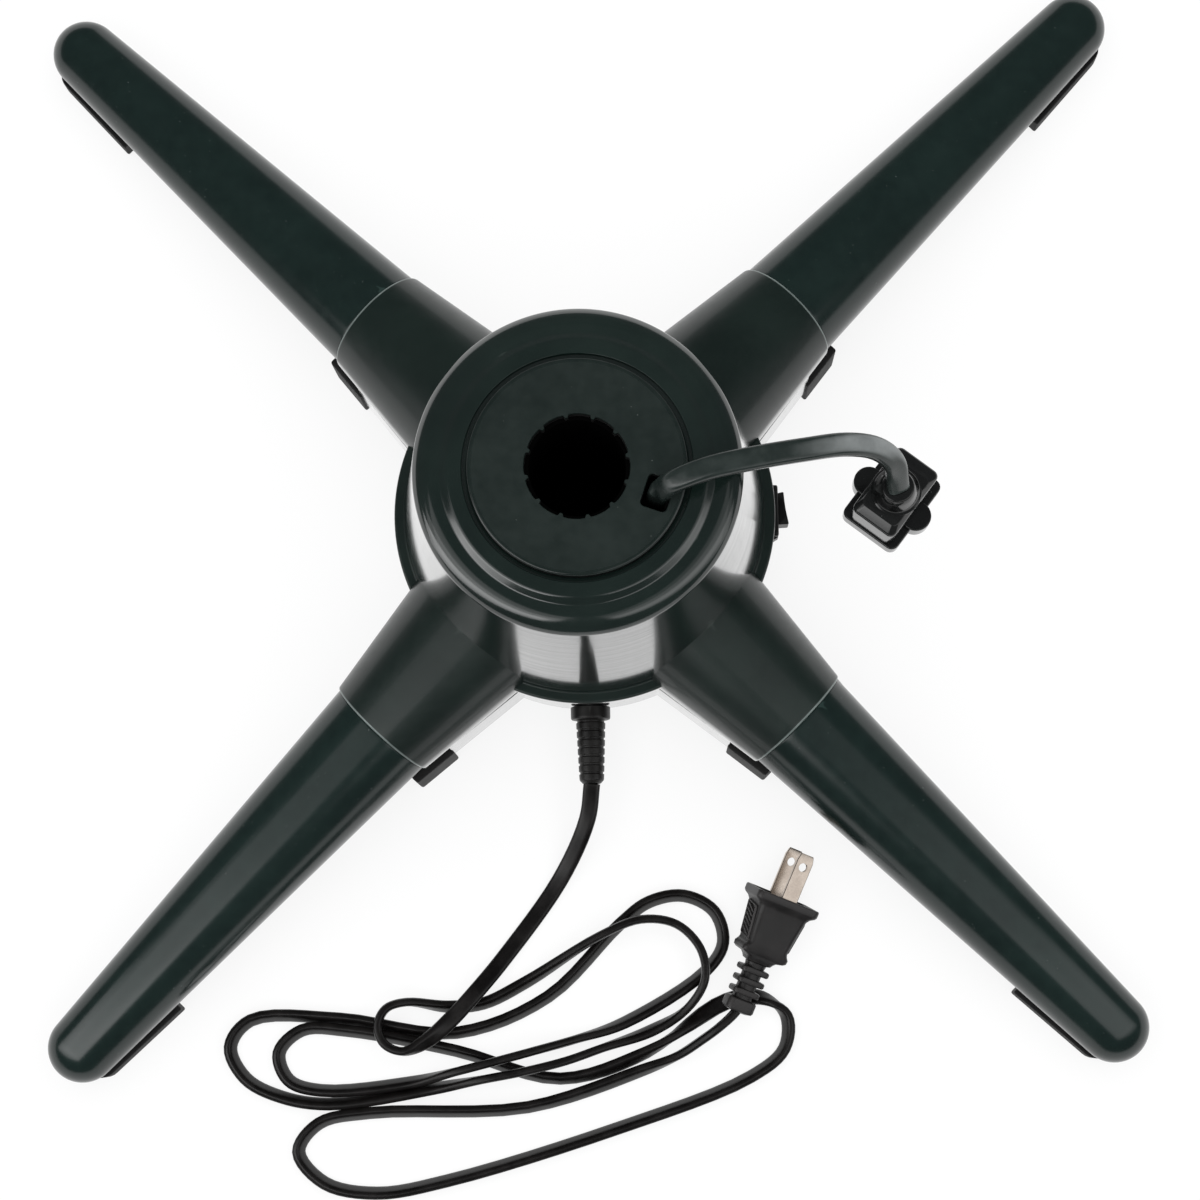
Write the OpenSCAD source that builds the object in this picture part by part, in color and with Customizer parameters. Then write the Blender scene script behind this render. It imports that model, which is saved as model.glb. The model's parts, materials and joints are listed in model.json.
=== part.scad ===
// Rotating stand for an artificial christmas tree: a hub with a motor-driven
// turntable, four plug-in legs on the diagonals, a switch, a lead and a ride-along outlet.
// Origin: on the floor, on the turntable's axis. +Z is up, the lead leaves towards -Y.

/* [Stand] */
// Distance from the axis to the middle of a leg's round tip
tip_reach = 265; // [240:1:330]
// Height of the turntable's top face above the floor
stand_h = 145; // [140:1:175]
// Thickness of the moulded walls
wall = 2.5; // [2:0.1:3]

/* [Legs] */
// Radius of a leg where it meets its socket
leg_r = 20.5; // [18:0.1:24.6]
// Radius of a leg's round tip
tip_r = 12.8; // [10:0.1:16]
// Distance from the axis to the seam between socket and leg
seam_reach = 106; // [98:1:120]
// Height of the leg's middle line at the seam
seam_h = 38; // [36:0.5:40]
// How far the leg's spigot goes into its socket
spigot_len = 30; // [22:1:34]
// Gap all round between the spigot and its socket
spigot_gap = 0.3; // [0.2:0.05:0.5]

/* [Hub] */
// Radius of the lip ring round the foot of the hub
lip_r = 68.8; // [67.8:0.1:69.5]
// Height of the lip's upper edge
lip_top = 50; // [49:0.5:51]
// Radius of the hub at the start of its round shoulder
rim_r = 55; // [54:0.1:57]
// Radius of a socket where it leaves the hub
socket_hub_r = 26.5; // [24:0.1:28]

/* [Turntable] */
// Radius of the turntable's disc
disc_r = 36.6; // [36:0.1:37]
// Radius of the hole for the tree's pole, a little over the pole's own
pole_r = 16.15; // [12.7:0.05:16.4]
// Depth of the pole's seat below the disc's top face
pole_depth = 118; // [90:1:120]
// Number of grip teeth round the hole
grip_teeth = 12; // [6:1:16]

/* [Drive] */
// Tooth module of the gear pair
gear_module = 1.25; // [1.25:0.25:1.25]
// Teeth on the turntable's gear
gear_teeth = 54; // [54:6:54]
// Teeth on the motor's pinion
pinion_teeth = 18; // [18:6:18]
// Radius of the motor's can
motor_r = 18; // [16:0.5:18.5]

/* [Hidden] */

leg_angles = [45, 135, 225, 315];
touch = 0.05;              // how far a joined shape reaches into its neighbour
air = 0.3;                 // usual gap between separate pieces

// Hub
foot_r = lip_r - 2;        // radius of the drum under the lip
cone_foot_r = lip_r - 4;   // radius of the turned wall just above the lip
lip_under = lip_top - 4.5;
drum_bottom = 6;
cover_t = 2.5;
floor_z = drum_bottom + cover_t;
shoulder_r = 8.5;
ring_in_r = disc_r + 0.8;  // the housing's own opening round the disc
step_in_r = ring_in_r + 5.6;
step_out_r = step_in_r + 3;
ring_z = stand_h - 2;
step_z = ring_z - 2;
cover_r = foot_r - wall - air;
cover_screw_r = foot_r - wall - 3.8;
cover_screw_angles = [70, 160, 250, 340];

// Legs and sockets
tip_h = tip_r + 3.2;
leg_run = tip_reach - seam_reach;
leg_slope = atan((seam_h - tip_h) / leg_run);
leg_len = leg_run / cos(leg_slope);
socket_end_r = leg_r + 0.9;
bore_r = leg_r - 1.5;      // the socket's bore for the spigot
spigot_r = bore_r - spigot_gap;
spigot_wall = 3;
screw_back = 18;           // leg screw's distance behind the seam
leg_screw_head = 3.2;
socket_len = (seam_reach - 40) / cos(leg_slope);
socket_flare = (socket_hub_r - socket_end_r) * cos(leg_slope) / (seam_reach - foot_r + 2);

// Turntable stack, from the top down
disc_t = 4;
disc_under = stand_h - disc_t;
tube_bottom = 21;
tube_low_r = pole_r + 3.85;
tube_mid_r = tube_low_r + 1.5;
tube_top_r = tube_mid_r + 1;
flange_r = tube_top_r + 8.5;
flange_t = 3;
tube_mid_top = 104;
tube_low_top = 52;
disc_screw_r = flange_r - 4;
disc_screw_angles = [40, 130, 220, 300];
skirt_r = 34;
skirt_bottom = stand_h - 17;
guide_gap = 0.06;
slot_reach = tube_top_r + 5.5;
slot_turn = -20;
slot_w = 9;
slot_l = 11;

// Gear pair
gear_z = 41;
gear_t = 7;
gear_pitch_r = gear_module * gear_teeth / 2;
pinion_pitch_r = gear_module * pinion_teeth / 2;
centre_gap = gear_pitch_r + pinion_pitch_r;
shaft_r = 3;
shaft_gap = 0.06;

// Slip ring and brushes
slip_z = 100;
slip_r = tube_mid_r + 13.5;
slip_hub_z = 92;
track_t = 1;
track_radii = [[tube_mid_r + 2.5, tube_mid_r + 6], [tube_mid_r + 8.5, tube_mid_r + 12]];
brush_w = 3;
brush_l = 5;
brush_gap = 0.1;
holder_z = [74, 88];

// Ball bearing under the tube
race_z = floor_z;
ball_r = 2.5;
ball_ring_r = tube_low_r - 4.5;
pivot_r = ball_ring_r - 6.5; // stub under the tube that runs in the base plate
ball_count = 12;
race_groove = ball_r + 0.05;
ball_z = tube_bottom - 4.6;

// Motor
ear_reach = 24;
ear_z = 34;
gearbox_z = [24, 36];
can_z = floor_z + 1.5;

// Switch
switch_y = 2.4;
switch_z = 27;
bezel_l = 19;
bezel_h = 13;
bezel_x = foot_r + 1.2;
bezel_t = 2.4;
rocker_l = 13;
rocker_h = 9;
rocker_tilt = 8;

// Lead: a flat two-core cord, its boot, its route over the floor and its plug
cord_w = 6.2;
cord_t = 3.3;
boot_z = 16;
boot_len = 27;
boot_start = foot_r - wall;
boot_end = foot_r + 1.4 + boot_len;
plug_turn = 66;
plug_roll = 20;
plug_tilt = 5;
plug_at = [51, -179, 9.6];
relief_len = 21.5;

// Each point: x, y, height of the cord's middle, and its roll (0 flat, 90 on edge)
mains_route = [
    [0, -boot_end, boot_z, 0], [-2, -108, 13.6, 0], [-13, -130, 3.2, 0], [-34, -158, 3, 0],
    [-44, -170, 8.8, 0], [-54, -180.5, 9.2, 10], [-63, -188, 10, 45], [-71, -191.3, 9.9, 85],
    [-78, -188.5, 9.8, 90], [-80.4, -182, 9.8, 90], [-77.5, -175.8, 9.6, 90],
    [-70, -173.4, 7.2, 90], [-55, -175.4, 3.2, 90], [-42, -174.5, 3.1, 90],
    [-26, -167, 3.2, 90], [2, -150.5, 9.6, 90], [17, -145, 9.7, 90], [30, -147, 8.2, 90],
    [38.5, -156, 9.2, 90], [40, -167, 9.5, 90], [33, -178, 5.2, 90],
    [20, -185.5, 3.1, 90], [2, -191.5, 4, 90], [-12, -196, 9.5, 90], [-28, -199.6, 9.9, 90],
    [-42, -202, 9.4, 90], [-60, -205, 3.1, 90], [-99, -210, 3.1, 90],
    [-117, -207, 3.1, 90], [-130, -200, 3.1, 90], [-135.5, -188.5, 3.1, 90],
    [-128, -179, 3.1, 90], [-95, -179, 3.1, 90], [-52, -185, 3.1, 90], [-18, -172.5, 3.1, 90],
    [9, -146.5, 3.1, 90], [20, -138.5, 3.1, 90], [33, -136.5, 3.1, 90], [44, -142.5, 3.1, 90],
    [47, -154, 3.1, 90], [40, -164.5, 3.1, 90], [10, -182.5, 3.1, 90], [-8, -188.2, 3.6, 90],
    [-23, -192, 9.2, 90], [-38, -195.7, 10, 90], [-52, -199, 9.1, 90], [-68, -202.6, 3.1, 90],
    [-102, -205, 3.1, 90], [-114, -201, 3.1, 90], [-117.5, -191, 3.1, 90],
    [-109, -183, 3.1, 90], [-93, -183.4, 3.1, 90], [-52, -191.6, 3.1, 90],
    [-14, -202.4, 3.1, 90], [18, -193.4, 3.1, 90], [48, -175.4, 1.7, 0], [61, -174.5, 2.6, 50],
    [69.5, -181, 3.1, 90], [68.5, -193, 3.1, 90], [56, -203, 3.1, 90], [6, -221, 3.1, 90],
    [-56, -238.5, 3.1, 90], [-82, -242.5, 3.1, 90], [-101, -238.5, 3.1, 90],
    [-110.5, -227, 3.1, 90], [-103, -217, 3.1, 90], [-84, -213.5, 3.1, 90], [-26, -212.5, 3.1, 90],
    [16, -199.5, 3.1, 90], [32, -191.5, 4.6, 80], [plug_at[0], plug_at[1], plug_at[2], 20]];

// Cord from the turntable to the outlet: x, y, z and roll, starting on the cord grip
outlet_w = 7;
outlet_t = 5.4;
grip_top = stand_h - 12;
grip_at = [slot_reach * cos(slot_turn), slot_reach * sin(slot_turn)];
tap_at = [107.4, -4.6, stand_h - 27];
outlet_route = [
    [grip_at[0], grip_at[1], grip_top, 0], [26.6, -9.3, stand_h - 6, 0],
    [27.8, -8.8, stand_h + 1, 0], [32.4, -7, stand_h + 8.4, 0], [43, -4, stand_h + 12.8, 0],
    [58, -1.2, stand_h + 13.6, 0], [74, 1.6, stand_h + 10.8, 0], [88, 4.1, stand_h + 5, 0],
    [98.4, 4.2, stand_h - 3.4, 0], [104.6, 1.4, stand_h - 12, 0],
    [tap_at[0], tap_at[1], tap_at[2], 0]];
tap_turn = 52;

// ---- shapes used more than once ----

// Ring of a given inner and outer radius, from height z0 to z1
module ring(r_in, r_out, z0, z1) {
    translate([0, 0, z0])
        difference() {
            cylinder(h = z1 - z0, r = r_out, $fn = 96);
            translate([0, 0, -1]) cylinder(h = z1 - z0 + 2, r = r_in, $fn = 96);
        }
}

// Puts its children on the leg's middle line: origin at the seam, +Z outwards along the leg
module on_leg(angle) {
    rotate([0, 0, angle])
        translate([seam_reach, 0, seam_h])
            rotate([0, 90 + leg_slope, 0])
                children();
}

// Pan-head screw standing on z = 0 with its head on top and its shank below
module screw(head_r, shank_r, length) {
    difference() {
        cylinder(h = head_r * 0.7, r = head_r, $fn = 32);
        for (turn = [0, 90])
            rotate([0, 0, turn])
                translate([-head_r * 0.6, -0.4, head_r * 0.35])
                    cube([head_r * 1.2, 0.8, head_r]);
    }
    translate([0, 0, -length]) cylinder(h = length + touch, r = shank_r, $fn = 32);
}

// Box with rounded upright edges, centred in x and y, standing on z = 0
module round_box(size, r) {
    hull()
        for (x = [-1, 1], y = [-1, 1])
            translate([x * (size[0] / 2 - r), y * (size[1] / 2 - r), 0])
                cylinder(h = size[2], r = r, $fn = 32);
}

// Points of one side face of an involute tooth, from the root out to the tip
function involute_angle(base_r, r) = sqrt(pow(r / base_r, 2) - 1) * 180 / PI - acos(base_r / r);
function flank_turn(teeth, base_r, pitch_r, r, slack) =
    90 / teeth - slack / pitch_r * 180 / PI
    + involute_angle(base_r, pitch_r) - involute_angle(base_r, r);
function polar(r, a) = [r * cos(a), r * sin(a)];
function tooth(teeth, turn, base_r, pitch_r, root_r, radii, slack) = concat(
    [polar(root_r, turn - flank_turn(teeth, base_r, pitch_r, radii[0], slack))],
    [for (r = radii) polar(r, turn - flank_turn(teeth, base_r, pitch_r, r, slack))],
    [for (i = [len(radii) - 1 : -1 : 0])
        polar(radii[i], turn + flank_turn(teeth, base_r, pitch_r, radii[i], slack))],
    [polar(root_r, turn + flank_turn(teeth, base_r, pitch_r, radii[0], slack))]);

// Spur gear outline with short teeth; a tooth is centred on turn
module gear_outline(teeth, turn) {
    pitch_r = gear_module * teeth / 2;
    base_r = pitch_r * cos(20);
    root_r = pitch_r - 1.1 * gear_module;
    tip = pitch_r + 0.8 * gear_module;
    inner = max(base_r, root_r) + 0.05;
    slack = 0.12;
    polygon([for (i = [0 : teeth - 1])
        each tooth(teeth, turn + i * 360 / teeth, base_r, pitch_r, root_r,
            [inner, pitch_r, tip], slack)]);
}

// Sweep of an oval section along a route of [x, y, z, roll] points
function sub3(a, b) = [a[0] - b[0], a[1] - b[1], a[2] - b[2]];
function unit(v) = v / norm(v);
function heading(route, i) = unit(sub3(route[min(i + 1, len(route) - 1)], route[max(i - 1, 0)]));
function side_of(d, fallback) = norm(cross(d, [0, 0, 1])) > 0.35 ? unit(cross(d, [0, 0, 1]))
    : unit(cross(d, cross(fallback, d)));
function section(route, i, w, t, sides, fallback) =
    let (d = heading(route, i), s = side_of(d, fallback), u = cross(s, d), roll = route[i][3])
    [for (k = [0 : sides - 1])
        let (a = 360 * (k + 0.5) / sides, p = w / 2 * cos(a), q = t / 2 * sin(a))
        [route[i][0], route[i][1], route[i][2]]
        + s * (p * cos(roll) - q * sin(roll)) + u * (p * sin(roll) + q * cos(roll))];

module swept_cord(route, w, t, sides, fallback) {
    n = len(route);
    points = [for (i = [0 : n - 1]) each section(route, i, w, t, sides, fallback)];
    walls = [for (i = [0 : n - 2], k = [0 : sides - 1])
        let (a = i * sides + k, b = i * sides + (k + 1) % sides)
        each [[a, b, a + sides], [b, b + sides, a + sides]]];
    start = [for (k = [sides - 1 : -1 : 0]) k];
    end = [for (k = [0 : sides - 1]) (n - 1) * sides + k];
    polyhedron(points = points, faces = concat([start, end], walls), convexity = 10);
}

// ---- hub ----

// Half section of the hub's outer face, filled to the axis
module hub_outline() {
    top_r = rim_r - shoulder_r;
    polygon(concat(
        [[0, drum_bottom], [foot_r, drum_bottom], [foot_r, lip_under], [lip_r, lip_under + 0.6],
            [lip_r, lip_top - 1], [lip_r - 1, lip_top], [cone_foot_r, lip_top]],
        [for (a = [6 : 12 : 90])
            [top_r + shoulder_r * cos(a), step_z - shoulder_r + shoulder_r * sin(a)]],
        [[step_out_r, step_z], [step_in_r, ring_z], [0, ring_z]]));
}

// Half section of the room inside the hub
module hub_room() {
    top_z = ring_z - 3;
    polygon([[0, drum_bottom - 1], [foot_r - wall, drum_bottom - 1], [foot_r - wall, lip_top - 5],
        [cone_foot_r - wall, lip_top], [rim_r - wall - 0.3, step_z - shoulder_r],
        [rim_r - shoulder_r, top_z - 1.5], [step_in_r, top_z], [0, top_z]]);
}

module socket_cone() {
    translate([0, 0, -socket_len])
        cylinder(h = socket_len, r1 = socket_end_r + socket_len * socket_flare,
            r2 = socket_end_r, $fn = 96);
}

module hub_housing() color("#1f2b27") {
    difference() {
        union() {
            rotate_extrude($fn = 180) hub_outline();
            for (a = leg_angles) on_leg(a) socket_cone();
        }
        rotate_extrude($fn = 180) hub_room();
        translate([0, 0, ring_z - 10]) cylinder(h = 12, r = ring_in_r, $fn = 128);
        for (a = leg_angles)
            on_leg(a) translate([0, 0, -socket_len - 1])
                cylinder(h = socket_len + 2, r = bore_r, $fn = 96);
        for (a = leg_angles)
            at_leg_screw(a) cylinder(h = 12, r = 2, $fn = 24, center = true);
        translate([foot_r - wall - 3, switch_y - bezel_l / 2 + 1.5, switch_z - bezel_h / 2 + 0.8])
            cube([10, bezel_l - 3, bezel_h - 1.6]);
        translate([bezel_x - bezel_t, switch_y - bezel_l / 2 - 0.1, switch_z - bezel_h / 2 - 0.1])
            cube([10, bezel_l + 0.2, bezel_h + 0.2]);
        translate([0, -boot_start + 3, boot_z]) rotate([90, 0, 0])
            cylinder(h = 10, r = 6.1, $fn = 48);
    }
    guide_seat();
    cover_bosses();
}

// Bosses on the drum's wall that the base cover screws into
module cover_bosses() {
    for (a = cover_screw_angles)
        rotate([0, 0, a]) translate([cover_screw_r, 0, floor_z])
            difference() {
                cylinder(h = 15, r = 4, $fn = 32);
                translate([0, 0, -1]) cylinder(h = 13, r = 1.6, $fn = 24);
            }
}

// Seat for the guide ring, hanging from the roof of the hub
module guide_seat() {
    ring(skirt_r + 5, skirt_r + 7.5, skirt_bottom, ring_z - 3 + touch);
    ring(skirt_r + 3.5, skirt_r + 7.5, skirt_bottom - 2, skirt_bottom + touch);
}

// Puts its children on a leg screw's axis, on the socket's underside, +Z pointing down
module at_leg_screw(angle) {
    on_leg(angle)
        translate([socket_end_r + (screw_back + leg_screw_head) * socket_flare + touch, 0, -screw_back])
            rotate([0, 90, 0]) children();
}

// Bottom plate, with the posts that the motor and the brush bracket stand on
module base_cover() color("#222b28") {
    difference() {
        union() {
            translate([0, 0, drum_bottom]) cylinder(h = cover_t, r = cover_r, $fn = 128);
            for (y = [-1, 1])
                translate([-centre_gap, y * ear_reach, drum_bottom])
                    cylinder(h = ear_z - drum_bottom, r = 3.4, $fn = 32);
            ring(pivot_r + shaft_gap, pivot_r + 2.2, drum_bottom, race_z + 1);
        }
        translate([0, 0, drum_bottom - 1])
            cylinder(h = cover_t + 3, r = pivot_r + shaft_gap, $fn = 64);
        for (y = [-1, 1])
            translate([-centre_gap, y * ear_reach, ear_z - 10]) cylinder(h = 11, r = 1.3, $fn = 24);
        for (a = cover_screw_angles)
            rotate([0, 0, a]) translate([cover_screw_r, 0, drum_bottom - 1]) {
                cylinder(h = 14, r = 1.7, $fn = 24);
                cylinder(h = 2.4, r = 3, $fn = 32);
            }
    }
}

module base_screws() color("#9a9c9e")
    for (a = cover_screw_angles)
        rotate([0, 0, a]) translate([cover_screw_r, 0, drum_bottom + 1.4 - touch])
            rotate([180, 0, 0]) screw(2.75, 1.55, 9);

// ---- legs ----

module leg(angle) color("#16302a")
    on_leg(angle)
        difference() {
            union() {
                cylinder(h = leg_len, r1 = leg_r, r2 = tip_r, $fn = 96);
                translate([0, 0, leg_len]) sphere(r = tip_r, $fn = 96);
                translate([0, 0, -spigot_len]) cylinder(h = spigot_len + 1, r = spigot_r, $fn = 96);
            }
            translate([0, 0, -spigot_len - 1])
                cylinder(h = spigot_len + 2, r = spigot_r - spigot_wall, $fn = 64);
            cylinder(h = leg_len - 4, r1 = spigot_r - spigot_wall, r2 = tip_r - wall, $fn = 64);
            translate([spigot_r, 0, -screw_back]) rotate([0, 90, 0])
                cylinder(h = 4 * spigot_wall, r = 1.3, $fn = 24, center = true);
        }

// One screw up through the underside of each socket into the leg's spigot
module leg_screws() color("#9a9c9e")
    for (a = leg_angles) at_leg_screw(a) screw(leg_screw_head, 1.25, 7.4);

// Rubber saddle under a leg's tip, following the leg's sides and its round end
module tip_pad(angle) color("#101211")
    rotate([0, 0, angle]) {
        pad_len = 36;
        pad_in = tip_reach - pad_len + 2;
        side = tip_r + 0.9;
        grow = (leg_r - tip_r) / leg_run;
        difference() {
            linear_extrude(height = tip_h * 0.62)
                polygon(concat(
                    [[pad_in, -side - grow * pad_len], [tip_reach, -side]],
                    [for (a = [-75 : 15 : 75]) [tip_reach + side * 0.62 * cos(a), side * sin(a)]],
                    [[tip_reach, side], [pad_in, side + grow * pad_len]]));
            translate([seam_reach, 0, seam_h]) rotate([0, 90 + leg_slope, 0]) {
                cylinder(h = leg_len, r1 = leg_r + touch, r2 = tip_r + touch, $fn = 96);
                translate([0, 0, leg_len]) sphere(r = tip_r + touch, $fn = 96);
            }
        }
    }

// Rubber saddle foot under a socket's end, as wide as the socket
module socket_foot(angle) color("#101211")
    rotate([0, 0, angle]) {
        near = seam_reach - 12;
        far = near + 17.6;
        half = socket_end_r + 1.2;
        flare = 2;
        difference() {
            linear_extrude(height = seam_h - 13)
                polygon([[near, -half - flare], [far, -half], [far, half], [near, half + flare]]);
            translate([seam_reach, 0, seam_h]) rotate([0, 90 + leg_slope, 0]) {
                translate([0, 0, -40])
                    cylinder(h = 40, r1 = socket_end_r + 40 * socket_flare + touch,
                        r2 = socket_end_r + touch, $fn = 96);
                translate([0, 0, -1]) cylinder(h = 40, r = socket_end_r + touch, $fn = 96);
            }
        }
    }

// ---- turntable and what turns with it ----

module at_slot(z) {
    rotate([0, 0, slot_turn]) translate([slot_reach, 0, z]) children();
}

// Disc with the toothed pole hole, the cord's slot and a skirt that runs in the guide ring
module turntable_disc() color("#1d2825") {
    tooth_w = 1.3;
    difference() {
        union() {
            rotate_extrude($fn = 180)
                polygon([[pole_r + 1.2, disc_under], [disc_r, disc_under], [disc_r, stand_h - 0.6],
                    [disc_r - 0.6, stand_h], [pole_r + 1.2, stand_h]]);
            ring(skirt_r - 2.4, skirt_r, skirt_bottom, disc_under + touch);
            for (i = [0 : grip_teeth - 1])
                rotate([0, 0, 11 + i * 360 / grip_teeth])
                    translate([pole_r - 0.5, -tooth_w / 2, disc_under])
                        cube([2.2, tooth_w, disc_t - 0.3]);
        }
        translate([0, 0, disc_under - 1]) cylinder(h = disc_t + 2, r = pole_r + 0.05, $fn = 96);
        at_slot(disc_under - 1) round_box([slot_w, slot_l, disc_t + 2], 1.5);
        for (a = disc_screw_angles)
            rotate([0, 0, a]) translate([disc_screw_r, 0, disc_under - 1]) cylinder(h = 4, r = 1.2, $fn = 24);
    }
}

// Stepped tube that takes the pole; its flange screws to the underside of the disc
module pole_tube() color("#26302d") {
    difference() {
        union() {
            translate([0, 0, tube_bottom])
                cylinder(h = tube_low_top - tube_bottom, r = tube_low_r, $fn = 128);
            translate([0, 0, tube_low_top - touch])
                cylinder(h = tube_mid_top - tube_low_top, r = tube_mid_r, $fn = 128);
            translate([0, 0, tube_mid_top - 2 * touch])
                cylinder(h = disc_under - tube_mid_top + touch, r = tube_top_r, $fn = 128);
            translate([0, 0, disc_under - flange_t - touch])
                cylinder(h = flange_t, r = flange_r, $fn = 128);
            translate([0, 0, drum_bottom + 0.5])
                cylinder(h = tube_bottom - drum_bottom, r = pivot_r, $fn = 64);
        }
        translate([0, 0, stand_h - pole_depth]) cylinder(h = 200, r = pole_r, $fn = 128);
        at_slot(disc_under - flange_t - 1)
            translate([4, 0, 0]) round_box([slot_w + 9, slot_l + 2, flange_t + 2], 1.5);
        for (a = disc_screw_angles)
            rotate([0, 0, a]) translate([disc_screw_r, 0, disc_under - flange_t - 1])
                cylinder(h = flange_t + 2, r = 1.5, $fn = 24);
    }
}

module disc_screws() color("#9a9c9e")
    for (a = disc_screw_angles)
        rotate([0, 0, a]) translate([disc_screw_r, 0, disc_under - flange_t - 2 * touch])
            rotate([180, 0, 0]) screw(2.6, 1.15, 5);

module drive_gear() color("#d8d4c4")
    difference() {
        union() {
            translate([0, 0, gear_z]) linear_extrude(height = gear_t) gear_outline(gear_teeth, 0);
            ring(tube_low_r, tube_low_r + 4, gear_z - 2, tube_low_top - touch);
        }
        translate([0, 0, gear_z - 3]) cylinder(h = gear_t + 6, r = tube_low_r, $fn = 128);
        for (a = [0 : 60 : 300])
            rotate([0, 0, a + 30]) translate([28.3, 0, gear_z - 1])
                cylinder(h = gear_t + 2, r = 3, $fn = 32);
    }

// Split spring ring under the gear's hub
module gear_clip() color("#8d8f92") clip(tube_low_r, gear_z - 3.2, 1.2);

module slip_ring_clip() color("#8d8f92") clip(tube_mid_r, slip_hub_z - 1.2, 1.2);

module clip(r, z, t)
    difference() {
        ring(r, r + 2, z, z + t);
        translate([0, -1.5, z - 1]) cube([r + 4, 3, t + 2]);
    }

// Insulating disc that carries the two contact tracks
module slip_ring_disc() color("#5b3a22")
    difference() {
        union() {
            ring(tube_mid_r, slip_r, slip_z, tube_mid_top - 2 * touch);
            ring(tube_mid_r, tube_mid_r + 2, slip_hub_z, slip_z + touch);
        }
        for (a = [80, 200, 320])
            rotate([0, 0, a]) translate([tube_mid_r + 7.2, 0, slip_z - 1]) cylinder(h = 6, r = 0.8, $fn = 16);
    }

module slip_ring_tracks() color("#c8a24a")
    for (r = track_radii) ring(r[0], r[1], slip_z - track_t, slip_z);

// Clamp block under the slot; the outlet's cord starts on its top face
module cord_grip() color("#151716")
    at_slot(grip_top - 12)
        difference() {
            translate([-1.5, 0, 0]) round_box([8, 11, 12], 1.5);
            for (z = [3, 8])
                translate([2.6, 0, z]) rotate([90, 0, 0]) cylinder(h = 20, r = 1, $fn = 16, center = true);
            rotate([0, 0, -slot_turn]) translate([-grip_at[0], -grip_at[1], -1])
                cylinder(h = 14, r = tube_top_r + touch, $fn = 96);
        }

// ---- bearings ----

module guide_ring() color("#e6e2d2")
    difference() {
        ring(skirt_r + guide_gap, skirt_r + 5 - touch, skirt_bottom + touch, ring_z - 5);
        for (a = [0 : 60 : 300])
            rotate([0, 0, a]) translate([skirt_r + 4, -1, skirt_bottom]) cube([3, 2, 20]);
    }

// Grooved ring of a ball race, between heights z0 and z1
module race(z0, z1)
    rotate_extrude($fn = 128)
        difference() {
            translate([ball_ring_r - 3.8, z0]) square([7.6, z1 - z0]);
            translate([ball_ring_r, ball_z]) circle(r = race_groove, $fn = 64);
        }

module lower_race() color("#a8abad") race(race_z, ball_z - 1.1);

module upper_race() color("#a8abad") race(ball_z + 1.1, tube_bottom);

module bearing_balls() color("#c4c7ca")
    for (i = [0 : ball_count - 1])
        rotate([0, 0, i * 360 / ball_count])
            translate([ball_ring_r, 0, ball_z]) sphere(r = ball_r, $fn = 48);

module ball_cage() color("#d9d3bd")
    difference() {
        ring(ball_ring_r - 3.4, ball_ring_r + 3.4, ball_z - 0.8, ball_z + 0.8);
        for (i = [0 : ball_count - 1])
            rotate([0, 0, i * 360 / ball_count])
                translate([ball_ring_r, 0, ball_z - 3]) cylinder(h = 6, r = ball_r + 0.05, $fn = 48);
    }

// ---- motor ----

module at_motor(z) {
    translate([-centre_gap, 0, z]) children();
}

module motor_can() color("#b9bcbd")
    at_motor(can_z)
        difference() {
            cylinder(h = gearbox_z[0] - can_z, r = motor_r, $fn = 96);
            for (a = [0 : 45 : 315])
                rotate([0, 0, a]) translate([motor_r - 4, 0, -1]) cylinder(h = 1.6, r = 1.6, $fn = 24);
        }

// Gearbox on the can, with a boss for the shaft and two ears
module gearbox() color("#c9ccce")
    at_motor(gearbox_z[0])
        difference() {
            union() {
                cylinder(h = gearbox_z[1] - gearbox_z[0], r = motor_r - 0.4, $fn = 96);
                translate([0, 0, gearbox_z[1] - gearbox_z[0] - touch]) cylinder(h = 2, r = 6, $fn = 48);
                translate([0, 0, ear_z - gearbox_z[0]])
                    hull()
                        for (y = [-1, 1])
                            translate([0, y * ear_reach, 0]) cylinder(h = 2, r = 4, $fn = 32);
            }
            translate([0, 0, 4]) cylinder(h = 20, r = shaft_r + shaft_gap, $fn = 48);
            for (y = [-1, 1])
                translate([0, y * ear_reach, ear_z - gearbox_z[0] - 1]) cylinder(h = 4, r = 1.7, $fn = 24);
        }

module gearbox_screws() color("#9a9c9e")
    for (y = [-1, 1])
        translate([-centre_gap, y * ear_reach, ear_z + 2]) screw(3, 1.25, 8);

module output_shaft() color("#a0a3a6")
    at_motor(gearbox_z[0] + 4)
        difference() {
            cylinder(h = 23, r = shaft_r, $fn = 48);
            translate([shaft_r - 0.7, -4, 12.9]) cube([4, 8, 12]);
        }

module drive_pinion() color("#d8d4c4")
    at_motor(gear_z - 1)
        difference() {
            linear_extrude(height = gear_t + 2) gear_outline(pinion_teeth, 180 / pinion_teeth);
            difference() {
                translate([0, 0, -1]) cylinder(h = gear_t + 4, r = shaft_r + 0.02, $fn = 48);
                translate([shaft_r - 0.68, -4, 1]) cube([4, 8, gear_t + 4]);
            }
        }

// ---- slip-ring brushes ----

// Bent steel strip: a foot on the base cover, an upright and a shelf for the brush holder
module brush_bracket() color("#b4b7b9") {
    strip = 1.6;
    back = 47;
    width = 16;
    difference() {
        union() {
            translate([-width / 2, back - 8, floor_z]) cube([width, 8 + strip, strip]);
            translate([-width / 2, back, floor_z]) cube([width, strip, holder_z[0] - floor_z]);
            translate([-width / 2, tube_mid_r + 1.5, holder_z[0] - strip])
                cube([width, back - tube_mid_r - 1.5 + strip, strip]);
        }
        for (x = [-5, 5])
            translate([x, back - 4.5, floor_z - 1]) cylinder(h = 4, r = 1.5, $fn = 24);
    }
}

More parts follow.
